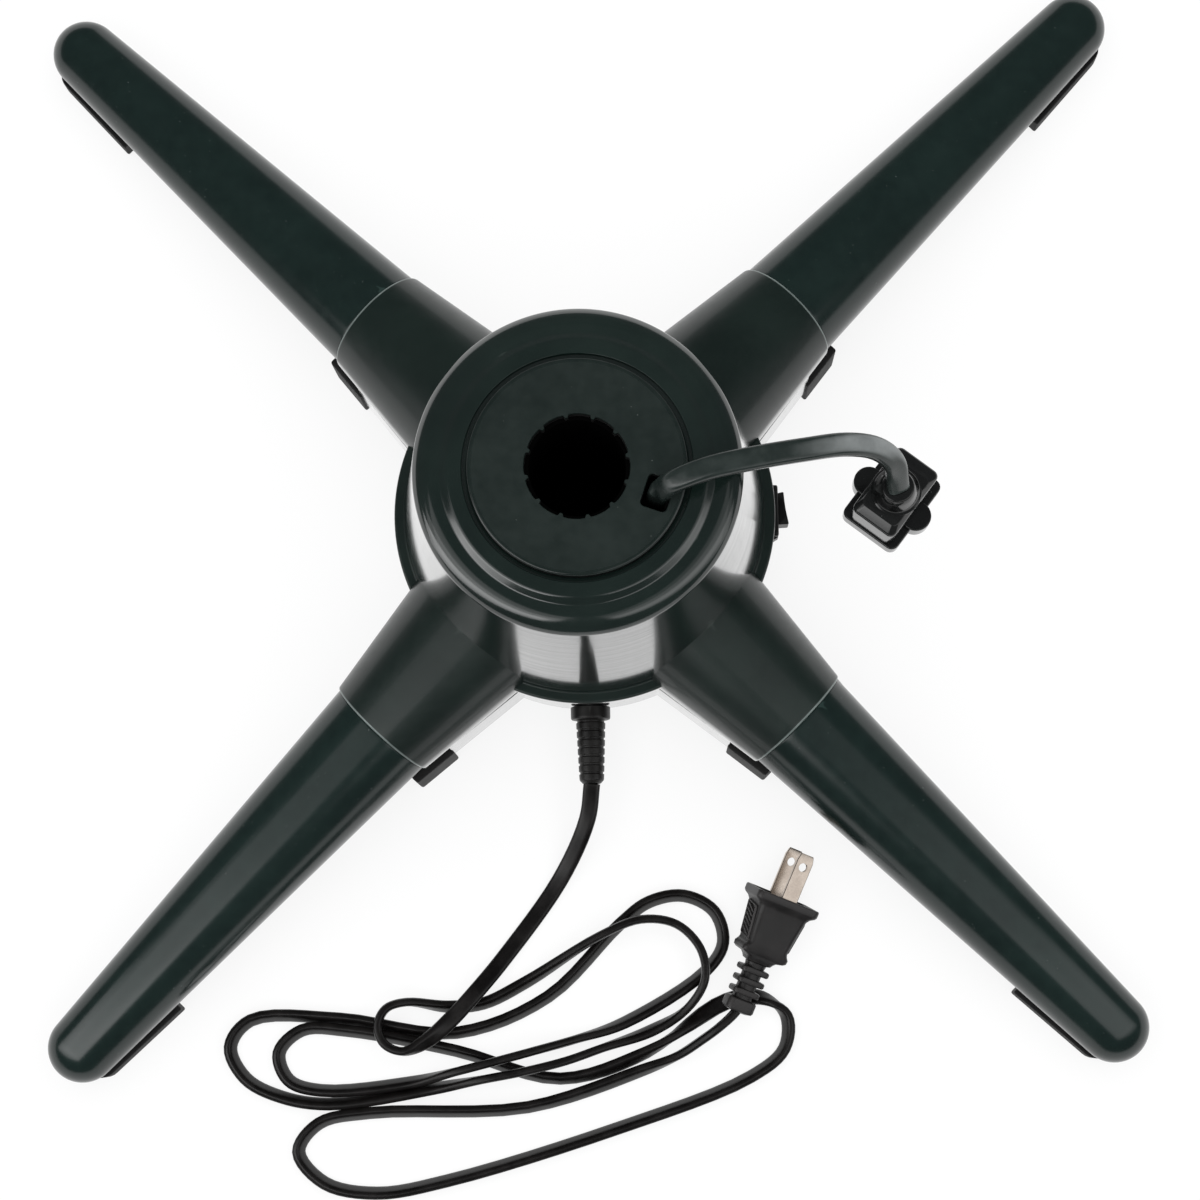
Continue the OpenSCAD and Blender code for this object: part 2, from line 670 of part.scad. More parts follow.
module brush_holder() color("#2a2420")
    difference() {
        translate([-9, tube_mid_r + 1.5, holder_z[0]]) cube([18, 18, holder_z[1] - holder_z[0]]);
        at_brushes(holder_z[0] + 2) pocket();
    }

module pocket() {
    translate([-brush_l / 2 - 0.1, -brush_w / 2 - 0.1, 0]) cube([brush_l + 0.2, brush_w + 0.2, 20]);
}

// The two brushes stand side by side, one under each track
module at_brushes(z) {
    for (i = [0, 1])
        translate([(i * 2 - 1) * 4.5, (track_radii[i][0] + track_radii[i][1]) / 2 + 0.3, z])
            children();
}

module brushes() color("#3b3b3c")
    at_brushes(holder_z[0] + 2)
        translate([-brush_l / 2, -brush_w / 2, 0])
            cube([brush_l, brush_w, slip_z - track_t - brush_gap - holder_z[0] - 2]);

module bracket_screws() color("#9a9c9e")
    for (x = [-5, 5])
        translate([x, 42.5, floor_z + 1.6]) screw(2.6, 1.4, 1.6);

// ---- switch and wiring ----

module switch_body() color("#141515")
    difference() {
        union() {
            translate([bezel_x - bezel_t + touch, switch_y - bezel_l / 2, switch_z - bezel_h / 2])
                cube([bezel_t - touch, bezel_l, bezel_h]);
            translate([foot_r - 17, switch_y - bezel_l / 2 + 1.8, switch_z - bezel_h / 2 + 1.8])
                cube([17, bezel_l - 3.6, bezel_h - 3.6]);
        }
        translate([bezel_x - 6.6, switch_y - rocker_l / 2 - 0.4, switch_z - rocker_h / 2 - 0.4])
            cube([9, rocker_l + 0.8, rocker_h + 0.8]);
        translate([bezel_x - 2, switch_y, switch_z])
            cylinder(h = bezel_h - 1.6, r = 1.05, $fn = 32, center = true);
    }

// Rocker on two small pivots; at rest its front end stands out
module switch_rocker() color("#1b1c1c")
    translate([bezel_x - 2, switch_y, switch_z]) {
        rotate([0, 0, rocker_tilt])
            intersection() {
                translate([-2.2, -rocker_l / 2, -rocker_h / 2]) cube([8, rocker_l, rocker_h]);
                translate([-34.5, 0, -rocker_h]) cylinder(h = 2 * rocker_h, r = 40.3, $fn = 180);
                rotate([0, 0, -rocker_tilt]) translate([-3.6, -rocker_l / 2 + 0.1, -rocker_h])
                    cube([16, rocker_l - 0.2, 2 * rocker_h]);
            }
        cylinder(h = bezel_h - 2, r = 1, $fn = 32, center = true);
    }

// Screw terminals where the lead, the switch, the motor and the brushes meet
module terminal_block() color("#dcdacb")
    translate([24, -40, floor_z]) {
        posts = [4, 12, 20];
        difference() {
            cube([24, 12, 10]);
            for (x = posts)
                translate([x, 6, 5]) cylinder(h = 6, r = 2, $fn = 24);
            for (y = [-1, 9], x = posts)
                translate([x, y, 4]) rotate([-90, 0, 0]) cylinder(h = 4, r = 1.4, $fn = 24);
        }
        for (x = posts)
            translate([x, 6, 4.9]) cylinder(h = 3, r = 1.9, $fn = 24);
    }

// Boot where the lead leaves the drum: a collar, then a ribbed taper
module strain_relief() color("#151413")
    translate([0, -boot_end, boot_z])
        rotate([-90, 0, 0]) {
            body = boot_end - foot_r - 1.4;
            cylinder(h = body + 1.6, r1 = 4.5, r2 = 5.4, $fn = 48);
            for (i = [0 : 6])
                translate([0, 0, 1.2 + i * 3.3]) cylinder(h = 1.9, r = 4.9 + i * 0.1, $fn = 48);
            translate([0, 0, body]) cylinder(h = 1.4, r = 7.1, $fn = 48);
            translate([0, 0, body + 1.4 - touch]) cylinder(h = wall + 1.4, r = 6, $fn = 48);
            translate([0, 0, body + wall + 2]) cylinder(h = 2, r = 7, $fn = 48);
        }

module mains_cord() color("#1a1816") swept_cord(mains_route, cord_w, cord_t, 8, [0, 0, 1]);

// Puts its children on the plug's middle line: origin at the relief's free end, +Z to the blades
module on_plug() {
    translate(plug_at)
        rotate([0, 90 - plug_tilt, plug_turn]) rotate([0, 0, plug_roll]) children();
}

// Moulded plug: finned relief, tapered grip and face flange
module plug_body() color("#141313")
    on_plug() {
        cylinder(h = relief_len + 1, r = 3.9, $fn = 32);
        for (i = [0 : 4])
            translate([-4.4 - i * 0.2, -4.4 - i * 0.2, 1 + i * 4.2])
                cube([8.8 + i * 0.4, 8.8 + i * 0.4, 2.4]);
        hull() {
            translate([0, 0, relief_len + 1]) round_box([14, 16, 0.5], 2);
            translate([0, 0, relief_len + 20]) round_box([16.6, 20.8, 0.5], 2);
        }
        translate([0, 0, relief_len]) round_box([16, 19.8, 2.4], 2);
        translate([0, 0, relief_len + 20]) round_box([19, 26.4, 3.4], 2);
    }

module plug_blades() color("#c9b9a6")
    on_plug()
        for (x = [-1, 1])
            translate([x * 6.35, 0, relief_len + 23.4])
                difference() {
                    hull() {
                        translate([-0.75, -3.17, 0]) cube([1.5, 6.34, 14]);
                        translate([-0.5, -2.2, 17]) cube([1, 4.4, 0.9]);
                    }
                    translate([0, 0, 13]) rotate([0, 90, 0])
                        cylinder(h = 4, r = 1.55, $fn = 32, center = true);
                }

// ---- outlet that rides with the turntable ----

module outlet_cord() color("#1c2320") swept_cord(outlet_route, outlet_w, outlet_t, 8, [1, -0.4, 0]);

module on_tap() {
    translate(tap_at) rotate([0, 0, tap_turn]) mirror([0, 0, 1]) children();
}

// Moulded outlet hanging on its cord, its socket face down
module outlet_tap() color("#131414")
    on_tap()
        difference() {
            union() {
                cylinder(h = 9, r1 = 5.6, r2 = 7.8, $fn = 48);
                translate([0, 0, 8]) round_box([26, 16.4, 19], 2.5);
                translate([0, 0, 26]) round_box([27.4, 21.4, 8], 2.5);
                for (y = [-1, 1])
                    translate([0, y * 9.4, 24]) cylinder(h = 10, r = 5, $fn = 48);
            }
            for (x = [-1, 1])
                translate([x * 6.35 - 1, -3.6, 16]) cube([2, 7.2, 20]);
        }

module tap_contacts() color("#c8a24a")
    on_tap()
        for (x = [-1, 1])
            translate([x * 6.35 - 0.9, -3.4, 17])
                difference() {
                    cube([1.8, 6.8, 12]);
                    translate([0.5, -1, 2]) cube([0.8, 9, 12]);
                }

hub_housing();
base_cover();
base_screws();
leg(leg_angles[0]);  // leg_rear_right
leg(leg_angles[1]);  // leg_rear_left
leg(leg_angles[2]);  // leg_front_left
leg(leg_angles[3]);  // leg_front_right
leg_screws();
tip_pad(leg_angles[0]);  // tip_pad_rear_right
tip_pad(leg_angles[1]);  // tip_pad_rear_left
tip_pad(leg_angles[2]);  // tip_pad_front_left
tip_pad(leg_angles[3]);  // tip_pad_front_right
socket_foot(leg_angles[0]);  // socket_foot_rear_right
socket_foot(leg_angles[1]);  // socket_foot_rear_left
socket_foot(leg_angles[2]);  // socket_foot_front_left
socket_foot(leg_angles[3]);  // socket_foot_front_right
turntable_disc();
pole_tube();
disc_screws();
drive_gear();
gear_clip();
slip_ring_disc();
slip_ring_tracks();
slip_ring_clip();
cord_grip();
guide_ring();
lower_race();
bearing_balls();
ball_cage();
upper_race();
motor_can();
gearbox();
gearbox_screws();
output_shaft();
drive_pinion();
brush_bracket();
brush_holder();
brushes();
bracket_screws();
switch_body();
switch_rocker();
terminal_block();
strain_relief();
mains_cord();
plug_body();
plug_blades();
outlet_cord();
outlet_tap();
tap_contacts();
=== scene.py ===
import json
import math

import bmesh
import bpy
from mathutils import Euler, Matrix, Vector


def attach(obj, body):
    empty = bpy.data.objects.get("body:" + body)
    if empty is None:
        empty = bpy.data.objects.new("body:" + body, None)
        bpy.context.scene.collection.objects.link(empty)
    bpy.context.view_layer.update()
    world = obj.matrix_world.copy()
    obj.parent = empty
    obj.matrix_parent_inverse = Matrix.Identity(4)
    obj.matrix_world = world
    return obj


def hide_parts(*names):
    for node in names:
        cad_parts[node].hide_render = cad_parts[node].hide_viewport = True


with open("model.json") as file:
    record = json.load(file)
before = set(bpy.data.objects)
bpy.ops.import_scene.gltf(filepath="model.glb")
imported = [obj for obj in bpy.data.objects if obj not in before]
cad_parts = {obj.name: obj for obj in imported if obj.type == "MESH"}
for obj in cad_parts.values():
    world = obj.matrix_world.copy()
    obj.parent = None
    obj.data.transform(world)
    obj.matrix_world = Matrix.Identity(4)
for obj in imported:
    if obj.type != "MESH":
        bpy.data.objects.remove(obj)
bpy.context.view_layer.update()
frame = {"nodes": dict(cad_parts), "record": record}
MM = 0.001


def mm(*values):
    return Vector([v * MM for v in values])


def move_by(x, y, z):
    return Matrix.Translation((x, y, z))


def turn_by(degrees, axis="Z"):
    return Matrix.Rotation(math.radians(degrees), 4, axis)


# ---- sizes in mm, as in the part's source ----

LEG_ANGLES = {"rear_right": 45, "rear_left": 135, "front_left": 225, "front_right": 315}
STAND_H, WALL = 145, 2.5
SEAM_R, SEAM_Z = 106, 38
TIP_REACH, TIP_R, TIP_Z = 265, 12.8, 16
LEG_R, SOCKET_R = 20.5, 21.4
SPIGOT_R, SPIGOT_LEN, SPIGOT_WALL, BORE_R = 18.7, 30, 3, 19
LEG_SLOPE = math.atan2(SEAM_Z - TIP_Z, TIP_REACH - SEAM_R)
LEG_LEN = math.hypot(TIP_REACH - SEAM_R, SEAM_Z - TIP_Z)
LIP_R, FOOT_R, CONE_R, RIM_R = 68.8, 66.8, 64.8, 55
LIP_TOP, LIP_UNDER, DRUM_BOTTOM, FLOOR_Z = 50, 45.5, 6, 8.5
SHOULDER_R, SHOULDER_TILT = 11, 55
STEP_OUT_R, STEP_IN_R, RING_R = 46, 43, 38.2
RING_Z, STEP_Z, ROOF_Z = 143, 141, 140
RIM_Z = STEP_Z - SHOULDER_R * (1 - math.cos(math.radians(SHOULDER_TILT)))
SOCKET_ROOT = 40  # how far from the axis a socket starts
SOCKET_SPREAD, SOCKET_SEEN = 5.1, 41.2  # its flare, over the run that is seen
SOCKET_LEN = (SEAM_R - SOCKET_ROOT) / math.cos(LEG_SLOPE)
SOCKET_FLARE = SOCKET_SPREAD * math.cos(LEG_SLOPE) / SOCKET_SEEN
BASE_SCREW_TURNS = (70, 160, 250, 340)
DISC_R, DISC_UNDER, TEETH, FIRST_TOOTH = 36.6, 141, 12, 11
SKIRT_R, SKIRT_BOTTOM = 34, 128
SWITCH_Y, SWITCH_Z, PIVOT_X, ROCKER_TILT = 2.4, 27, 66, 8
BLADE_X = 6.35  # half the distance between the blades
CLEAR = 0.05  # left free where one piece is shaped against another

CORD_W, CORD_T = 6.2, 3.3
BOOT_END, BOOT_Z = 95.2, 16
PLUG_AT = (51, -179, 9.6)
PLUG_TILT, PLUG_TURN, PLUG_ROLL = 5, 66, 20
TAP_AT, TAP_TURN = (107.4, -4.6, 118), 52
SLOT_REACH, SLOT_TURN = 28, -20

# The lead's route from the boot to the plug: x, y, z in mm and roll in degrees. Points with only
# x and y lie on the floor, where the flat lead leans half over.
LEAD_LEAN, LEAD_REST_Z = 118, CORD_W / 2
LEAD_ROUTE = [
    (0, -BOOT_END, BOOT_Z, 0), (-2, -108, 13.6, 0), (-13, -130, 3.2, 0), (-34, -158, 3, 0),
    (-44, -170, 8.8, 0), (-54, -180.5, 9.2, 10), (-63, -188, 10, 45), (-71, -191.3, 9.9, 85),
    (-78, -188.5, 9.8, 90), (-80.4, -182, 9.8, 90), (-77.5, -175.8, 9.6, 90),
    (-70, -173.4, 7.2, 90), (-55, -175.4, 3.2, LEAD_LEAN), (-42, -174.5),
    (-26, -167, 3.2, LEAD_LEAN), (2, -150.5, 9.6, 90), (17, -145, 9.7, 90), (30, -147, 8.2, 90),
    (38.5, -156, 9.2, 90), (40, -167, 9.5, 90), (33, -178, 5.2, 90), (20, -185.5),
    (2, -191.5, 4, 90), (-12, -196, 9.5, 90), (-28, -199.6, 9.9, 90), (-42, -202, 9.4, 90),
    (-60, -205), (-99, -210), (-117, -207), (-130, -200), (-135.5, -188.5), (-128, -179),
    (-95, -179), (-52, -185), (-18, -172.5), (9, -146.5), (20, -138.5), (33, -136.5),
    (44, -142.5), (47, -154), (40, -164.5), (10, -182.5), (-8, -188.2, 3.6, 90),
    (-23, -192, 9.2, 90), (-38, -195.7, 10, 90), (-52, -199, 9.1, 90), (-68, -202.6),
    (-102, -205), (-114, -201), (-117.5, -191), (-109, -183), (-93, -183.4), (-52, -191.6),
    (-14, -202.4), (18, -193.4), (48, -175.4, 1.7, 0), (61, -174.5, 2.6, 50), (69.5, -181),
    (68.5, -193), (56, -203), (6, -221), (-56, -238.5), (-82, -242.5), (-101, -238.5),
    (-110.5, -227), (-103, -217), (-84, -213.5), (-26, -212.5), (16, -200),
    (29.5, -194.8, 3.8, 90), (38.2, -189.4, 6.4, 86), (45, -184.6, 8.9, 86)]

OUTLET_W, OUTLET_T = 7, 5.4
GRIP_AT = tuple(SLOT_REACH * way(math.radians(SLOT_TURN)) for way in (math.cos, math.sin))
GRIP_Z = 133
OUTLET_ROUTE = [
    (*GRIP_AT, GRIP_Z, 0), (26.6, -9.3, 139, 0), (27.8, -8.8, 146, 0), (32.4, -7, 153.4, 0),
    (43, -4, 157.8, 0), (58, -1.2, 158.6, 0), (74, 1.6, 155.8, 0), (88, 4.1, 150, 0),
    (98.4, 4.2, 141.6, 0), (104.6, 1.4, 133, 0), (*TAP_AT, 0)]


# ---- camera ----

CAMERA_AT, CAMERA_TURN = (24.3, -172.0, 1082.2), (7.719, 1.227, -1.136)
SENSOR_WIDTH, LENS = 36, 87


def make_camera():
    data = bpy.data.cameras.new("camera")
    data.sensor_width, data.lens = SENSOR_WIDTH, LENS
    camera = bpy.data.objects.new("camera", data)
    bpy.context.scene.collection.objects.link(camera)
    camera.location = mm(*CAMERA_AT)
    camera.rotation_euler = Euler([math.radians(a) for a in CAMERA_TURN], "XYZ")
    bpy.context.scene.camera = camera


make_camera()
bpy.context.scene.view_settings.view_transform = "Standard"


# ---- mesh helpers ----

NEW_PIECES = []  # with the finish of each, which is also its slot


def new_object(name, mesh, body, slot):
    piece = bpy.data.objects.new(name, mesh)
    bpy.context.scene.collection.objects.link(piece)
    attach(piece, body)
    NEW_PIECES.append((piece, slot))
    return piece


def from_lists(name, points, faces, smooth=True):
    mesh = bpy.data.meshes.new(name)
    mesh.from_pydata([tuple(p) for p in points], [], faces)
    mesh.validate()
    bm = bmesh.new()
    bm.from_mesh(mesh)
    bmesh.ops.recalc_face_normals(bm, faces=bm.faces)
    bm.to_mesh(mesh)
    bm.free()
    for face in mesh.polygons:
        face.use_smooth = smooth
    return mesh


SMOOTH_BELOW = 32  # degrees between faces that still shade as one


def sharpen(mesh, degrees=SMOOTH_BELOW):
    """Marks edges over an angle as sharp, the rest stay smooth."""
    for face in mesh.polygons:
        face.use_smooth = True
    mesh.set_sharp_from_angle(angle=math.radians(degrees))
    return mesh


def catmull(points, steps):
    """Smooth curve through the points, with the last value of each carried along."""
    out = []
    for i in range(len(points) - 1):
        p0, p1 = points[max(i - 1, 0)], points[i]
        p2, p3 = points[i + 1], points[min(i + 2, len(points) - 1)]
        gap = [math.dist(a[:3], b[:3]) ** 0.5 or 1e-6 for a, b in ((p0, p1), (p1, p2), (p2, p3))]
        for k in range(steps):
            t = k / steps
            out.append([knot(p0[j], p1[j], p2[j], p3[j], gap, t) for j in range(len(p1))])
    out.append(list(points[-1]))
    return out


def knot(a, b, c, d, gap, t):
    """One value of a centripetal curve between b and c."""
    g0, g1, g2 = gap
    m1 = g1 * ((b - a) / g0 - (c - a) / (g0 + g1) + (c - b) / g1) if g0 > 1e-5 else c - b
    m2 = g1 * ((c - b) / g1 - (d - b) / (g1 + g2) + (d - c) / g2) if g2 > 1e-5 else c - b
    t2, t3 = t * t, t * t * t
    return ((2 * t3 - 3 * t2 + 1) * b + (t3 - 2 * t2 + t) * m1
            + (3 * t2 - 2 * t3) * c + (t3 - t2) * m2)


def cord_section(w, t, groove, sides=24):
    """Flat two-core section with full corners and a shallow groove along its middle."""
    points = []
    for k in range(sides):
        a = 2 * math.pi * (k + 0.5) / sides
        c, s = math.cos(a), math.sin(a)
        x = w / 2 * math.copysign(abs(c) ** 0.72, c)
        y = t / 2 * math.copysign(abs(s) ** 0.62, s)
        y *= 1 - groove * math.exp(-(x / (0.09 * w)) ** 2)
        points.append((x, y))
    return points


LIE_CLEAR = 0.05  # a cord's underside stays this far above the floor
UPRIGHT = 0.35  # below this sine, a cord's own upright gives way to its fallback


def cord_mesh(name, route, section, fallback, steps=6):
    """Tube that follows a route and keeps its roll; returns the mesh and its middle line."""
    dense = catmull(route, steps)
    middle = [Vector(p[:3]) for p in dense]
    points, faces = [], []
    n = len(section)
    for i, p in enumerate(dense):
        d = (middle[min(i + 1, len(middle) - 1)] - middle[max(i - 1, 0)]).normalized()
        side = d.cross(Vector((0, 0, 1)))
        if side.length <= UPRIGHT:
            side = d.cross(Vector(fallback).cross(d))
        side.normalize()
        up = side.cross(d)
        roll = math.radians(p[3])
        c, s = math.cos(roll), math.sin(roll)
        ring = [middle[i] + side * (x * c - y * s) + up * (x * s + y * c) for x, y in section]
        lift = Vector((0, 0, max(0, LIE_CLEAR - min(q.z for q in ring))))
        middle[i] = middle[i] + lift
        points += [(q + lift) * MM for q in ring]
        if i:
            a, b = (i - 1) * n, i * n
            faces += [(a + k, a + (k + 1) % n, b + (k + 1) % n, b + k) for k in range(n)]
    faces.append(tuple(range(n - 1, -1, -1)))
    faces.append(tuple(range(len(points) - n, len(points))))
    return sharpen(from_lists(name, points, faces), 50), [m * MM for m in middle]


# ---- solids, made in mm ----

def solid(name, points, faces, place=None):
    """Mesh from points in mm, placed by a matrix in mm."""
    if place is not None:
        points = [place @ Vector(p) for p in points]
    return from_lists(name, [Vector(p) * MM for p in points], faces)


LONGEST_BEND = 0.48  # of a side, so that two bends never meet


def rounded(corners, steps=4):
    """Outline through (x, y, rounding) corners; each corner bends over its rounding."""
    out = []
    for i, (x, y, bend) in enumerate(corners):
        if not bend:
            out.append((x, y))
            continue
        here = Vector((x, y))
        ends = []
        for other in (corners[i - 1], corners[(i + 1) % len(corners)]):
            way = Vector(other[:2]) - here
            ends.append(here + way.normalized() * min(bend, LONGEST_BEND * way.length))
        for k in range(steps + 1):
            t = k / steps
            out.append(tuple(ends[0] * (1 - t) ** 2 + here * 2 * t * (1 - t) + ends[1] * t ** 2))
    return out


AXIS = 1e-6  # a smaller radius counts as on the axis
LONG_RUN, NEAR_ENDS = 9, (1.2, 4)  # runs that get extra rings, and how far from their ends


def with_steps(outline, pace):
    """Extra points on the long straight runs, close together near their ends."""
    out = []
    for i, (x0, y0) in enumerate(outline):
        out.append((x0, y0))
        x1, y1 = outline[(i + 1) % len(outline)]
        run = math.hypot(x1 - x0, y1 - y0)
        if i + 1 == len(outline) or x0 + x1 < AXIS or run < LONG_RUN:
            continue
        parts = math.ceil(run / pace)
        spots = [run * k / parts for k in range(1, parts)]
        spots += [*NEAR_ENDS, *(run - r for r in NEAR_ENDS)]
        out += [(x0 + (x1 - x0) * d / run, y0 + (y1 - y0) * d / run)
                for d in sorted(set(round(d, 2) for d in spots))]
    return out


def revolve(name, outline, segments, place=None, stepped=0):
    """Outline of (radius, height) turned round Z, from axis to axis or closed on itself.
    Long runs get rings every stepped millimetres."""
    if stepped:
        outline = with_steps(outline, stepped)
    points, rows = [], []
    for r, z in outline:
        start = len(points)
        if r < AXIS:
            rows.append([start] * segments)
            points.append((0, 0, z))
            continue
        rows.append(list(range(start, start + segments)))
        for k in range(segments):
            a = 2 * math.pi * k / segments
            points.append((r * math.cos(a), r * math.sin(a), z))
    pairs = list(zip(rows, rows[1:]))
    if outline[0][0] > AXIS:
        pairs.append((rows[-1], rows[0]))
    faces = []
    for low, high in pairs:
        for k in range(segments):
            n = (k + 1) % segments
            corner = list(dict.fromkeys((low[k], low[n], high[n], high[k])))
            if len(corner) > 2:
                faces.append(corner)
    return solid(name, points, faces, place)


def loft(name, loops, place=None):
    """Closed solid through loops of equally many (x, y, z) points."""
    n = len(loops[0])
    points = [p for loop in loops for p in loop]
    faces = [list(range(n)), list(range(len(points) - n, len(points)))]
    for i in range(len(loops) - 1):
        faces += [(i * n + k, i * n + (k + 1) % n, (i + 1) * n + (k + 1) % n, (i + 1) * n + k)
                  for k in range(n)]
    return solid(name, points, faces, place)


def block_loop(width, depth, corner, z, x=0, y=0, steps=5):
    """Loop of a rectangle with round corners at height z."""
    loop = []
    for sx, sy, start in ((1, 1, 0), (-1, 1, 90), (-1, -1, 180), (1, -1, 270)):
        for k in range(steps + 1):
            a = math.radians(start + 90 * k / steps)
            loop.append((x + sx * (width / 2 - corner) + corner * math.cos(a),
                         y + sy * (depth / 2 - corner) + corner * math.sin(a), z))
    return loop


def block(name, width, depth, corner, low, high, edge, place=None, x=0):
    """Box with round upright corners and rounded top and bottom edges."""
    loops = []
    for z, way in ((low, 1), (high, -1)):
        ring = []
        for k in range(4):
            a = math.radians(30 * k)
            inset = edge * (1 - math.sin(a))
            ring.append(block_loop(width - 2 * inset, depth - 2 * inset, max(corner - inset, 0.05),
                                   z + way * edge * (1 - math.cos(a)), x))
        loops += ring if way > 0 else ring[::-1]
    return loft(name, loops, place)


def prism(name, outline, low, high, edge=0.0, place=None):
    """Upright solid on an outline of (x, y) points, its top and bottom edges bevelled."""
    loops = [[(x, y, low) for x, y in outline], [(x, y, high) for x, y in outline]]
    mesh = loft(name, loops, place)
    return bevelled(mesh, edge) if edge else mesh


def bevelled(mesh, width, angle=50):
    """Breaks the edges over an angle by a width in mm."""
    bm = bmesh.new()
    bm.from_mesh(mesh)
    edges = [e for e in bm.edges
             if len(e.link_faces) == 2 and e.calc_face_angle(0) > math.radians(angle)]
    bmesh.ops.bevel(bm, geom=edges, offset=width * MM, offset_type="OFFSET", segments=2,
                    profile=0.5, affect="EDGES", clamp_overlap=True)
    bm.to_mesh(mesh)
    bm.free()
    return mesh


def joined(name, *meshes):
    bm = bmesh.new()
    for mesh in meshes:
        bm.from_mesh(mesh)
    out = bpy.data.meshes.new(name)
    bm.to_mesh(out)
    bm.free()
    return out


def carved(name, mesh, add=(), cut=()):
    """The mesh with some solids fused on, then others cut away."""
    body = bpy.data.objects.new(name, mesh)
    bpy.context.scene.collection.objects.link(body)
    spare, groups = [body], []
    for kind, tools in (("UNION", add), ("DIFFERENCE", cut)):
        if not tools:
            continue
        group = bpy.data.collections.new(name)
        bpy.context.scene.collection.children.link(group)
        groups.append(group)
        for tool in tools:
            part = bpy.data.objects.new(name, tool)
            group.objects.link(part)
            spare.append(part)
        step = body.modifiers.new(kind, "BOOLEAN")
        step.operation, step.operand_type, step.solver = kind, "COLLECTION", "EXACT"
        step.collection = group
    view = bpy.context.evaluated_depsgraph_get()
    out = bpy.data.meshes.new_from_object(body.evaluated_get(view), depsgraph=view)
    out.name = name
    for part in spare:
        bpy.data.objects.remove(part)
    for group in groups:
        bpy.data.collections.remove(group)
    return out


def flat_faces_flat(mesh):
    """Leans the shading of rounded edges on the big faces, so flat faces look flat."""
    spare = bpy.data.objects.new(mesh.name, mesh)
    bpy.context.scene.collection.objects.link(spare)
    lean = spare.modifiers.new("lean", "WEIGHTED_NORMAL")
    lean.weight, lean.keep_sharp = 80, True
    view = bpy.context.evaluated_depsgraph_get()
    out = bpy.data.meshes.new_from_object(spare.evaluated_get(view), depsgraph=view)
    out.name = mesh.name
    bpy.data.objects.remove(spare)
    return out


def turned_copy(name, mesh, degrees):
    out = mesh.copy()
    out.name = name
    out.transform(turn_by(degrees))
    return out


def stand_in(name, mesh, body, slot, *nodes, smooth=SMOOTH_BELOW):
    """Puts a finished mesh in place of CAD nodes."""
    piece = new_object(name, flat_faces_flat(sharpen(mesh, smooth)), body, slot)
    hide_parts(*nodes)
    return piece


# ---- hub ----

def leg_place(degrees=0):
    """From a leg's own axes, +Z outwards from the seam and +X down, to the stand's."""
    return (turn_by(degrees) @ move_by(SEAM_R, 0, SEAM_Z)
            @ Matrix.Rotation(math.pi / 2 + LEG_SLOPE, 4, "Y"))


def shoulder_point(tilt):
    a = math.radians(tilt)
    return (STEP_OUT_R + SHOULDER_R * math.sin(a), STEP_Z - SHOULDER_R * (1 - math.cos(a)))


def hub_outline():
    rim_r = shoulder_point(SHOULDER_TILT)[0]
    lower = rounded([
        (0, DRUM_BOTTOM, 0), (FOOT_R, DRUM_BOTTOM, 0.8), (FOOT_R, LIP_UNDER, 1.2),
        (LIP_R, LIP_UNDER + 0.5, 0.5), (LIP_R, LIP_TOP, 1.1), (CONE_R, LIP_TOP, 0.9),
        (rim_r, RIM_Z, 0.6), (*shoulder_point(SHOULDER_TILT - 8), 0)])
    shoulder = [shoulder_point(a) for a in range(SHOULDER_TILT - 12, 3, -5)]
    top = rounded([
        (*shoulder_point(2), 0), (STEP_OUT_R - 0.3, STEP_Z, 0.5), (STEP_IN_R, RING_Z, 0.9),
        (RING_R, RING_Z, 0.5), (RING_R, DISC_UNDER - 0.3, 0), (SKIRT_R + 1, DISC_UNDER - 0.6, 0),
        (SKIRT_R + 1, ROOF_Z - 1, 0), (0, ROOF_Z - 1, 0)])
    return lower + shoulder + top


def hub_room():
    inner = FOOT_R - WALL
    return [(0, DRUM_BOTTOM - 1), (inner, DRUM_BOTTOM - 1), (inner, LIP_TOP - 5),
            (CONE_R - WALL, LIP_TOP), (RIM_R - WALL - 0.3, STEP_Z - 8.5), (RIM_R - 9, ROOF_Z - 1.5),
            (STEP_IN_R, ROOF_Z), (0, ROOF_Z)]


def socket_outline():
    wide = SOCKET_R + SOCKET_LEN * SOCKET_FLARE
    return rounded([(0, -SOCKET_LEN, 0), (wide, -SOCKET_LEN, 0), (SOCKET_R, 0, 0.8), (0, 0, 0)])


def skirt_plate(side):
    """Upright flank below a socket, flush with its widest line."""
    near, far, thick, bottom = FOOT_R - 6, SEAM_R - 11.6, 2.2, 13.5
    outline = []
    for x, inset in ((near, 0), (far, 0), (far, thick), (near, thick)):
        y = SOCKET_R + (SEAM_R - x) * SOCKET_FLARE - inset
        outline.append((x, side * y))
    return prism("skirt_plate", outline, bottom, SEAM_Z + (SEAM_R - far) * math.tan(LEG_SLOPE))


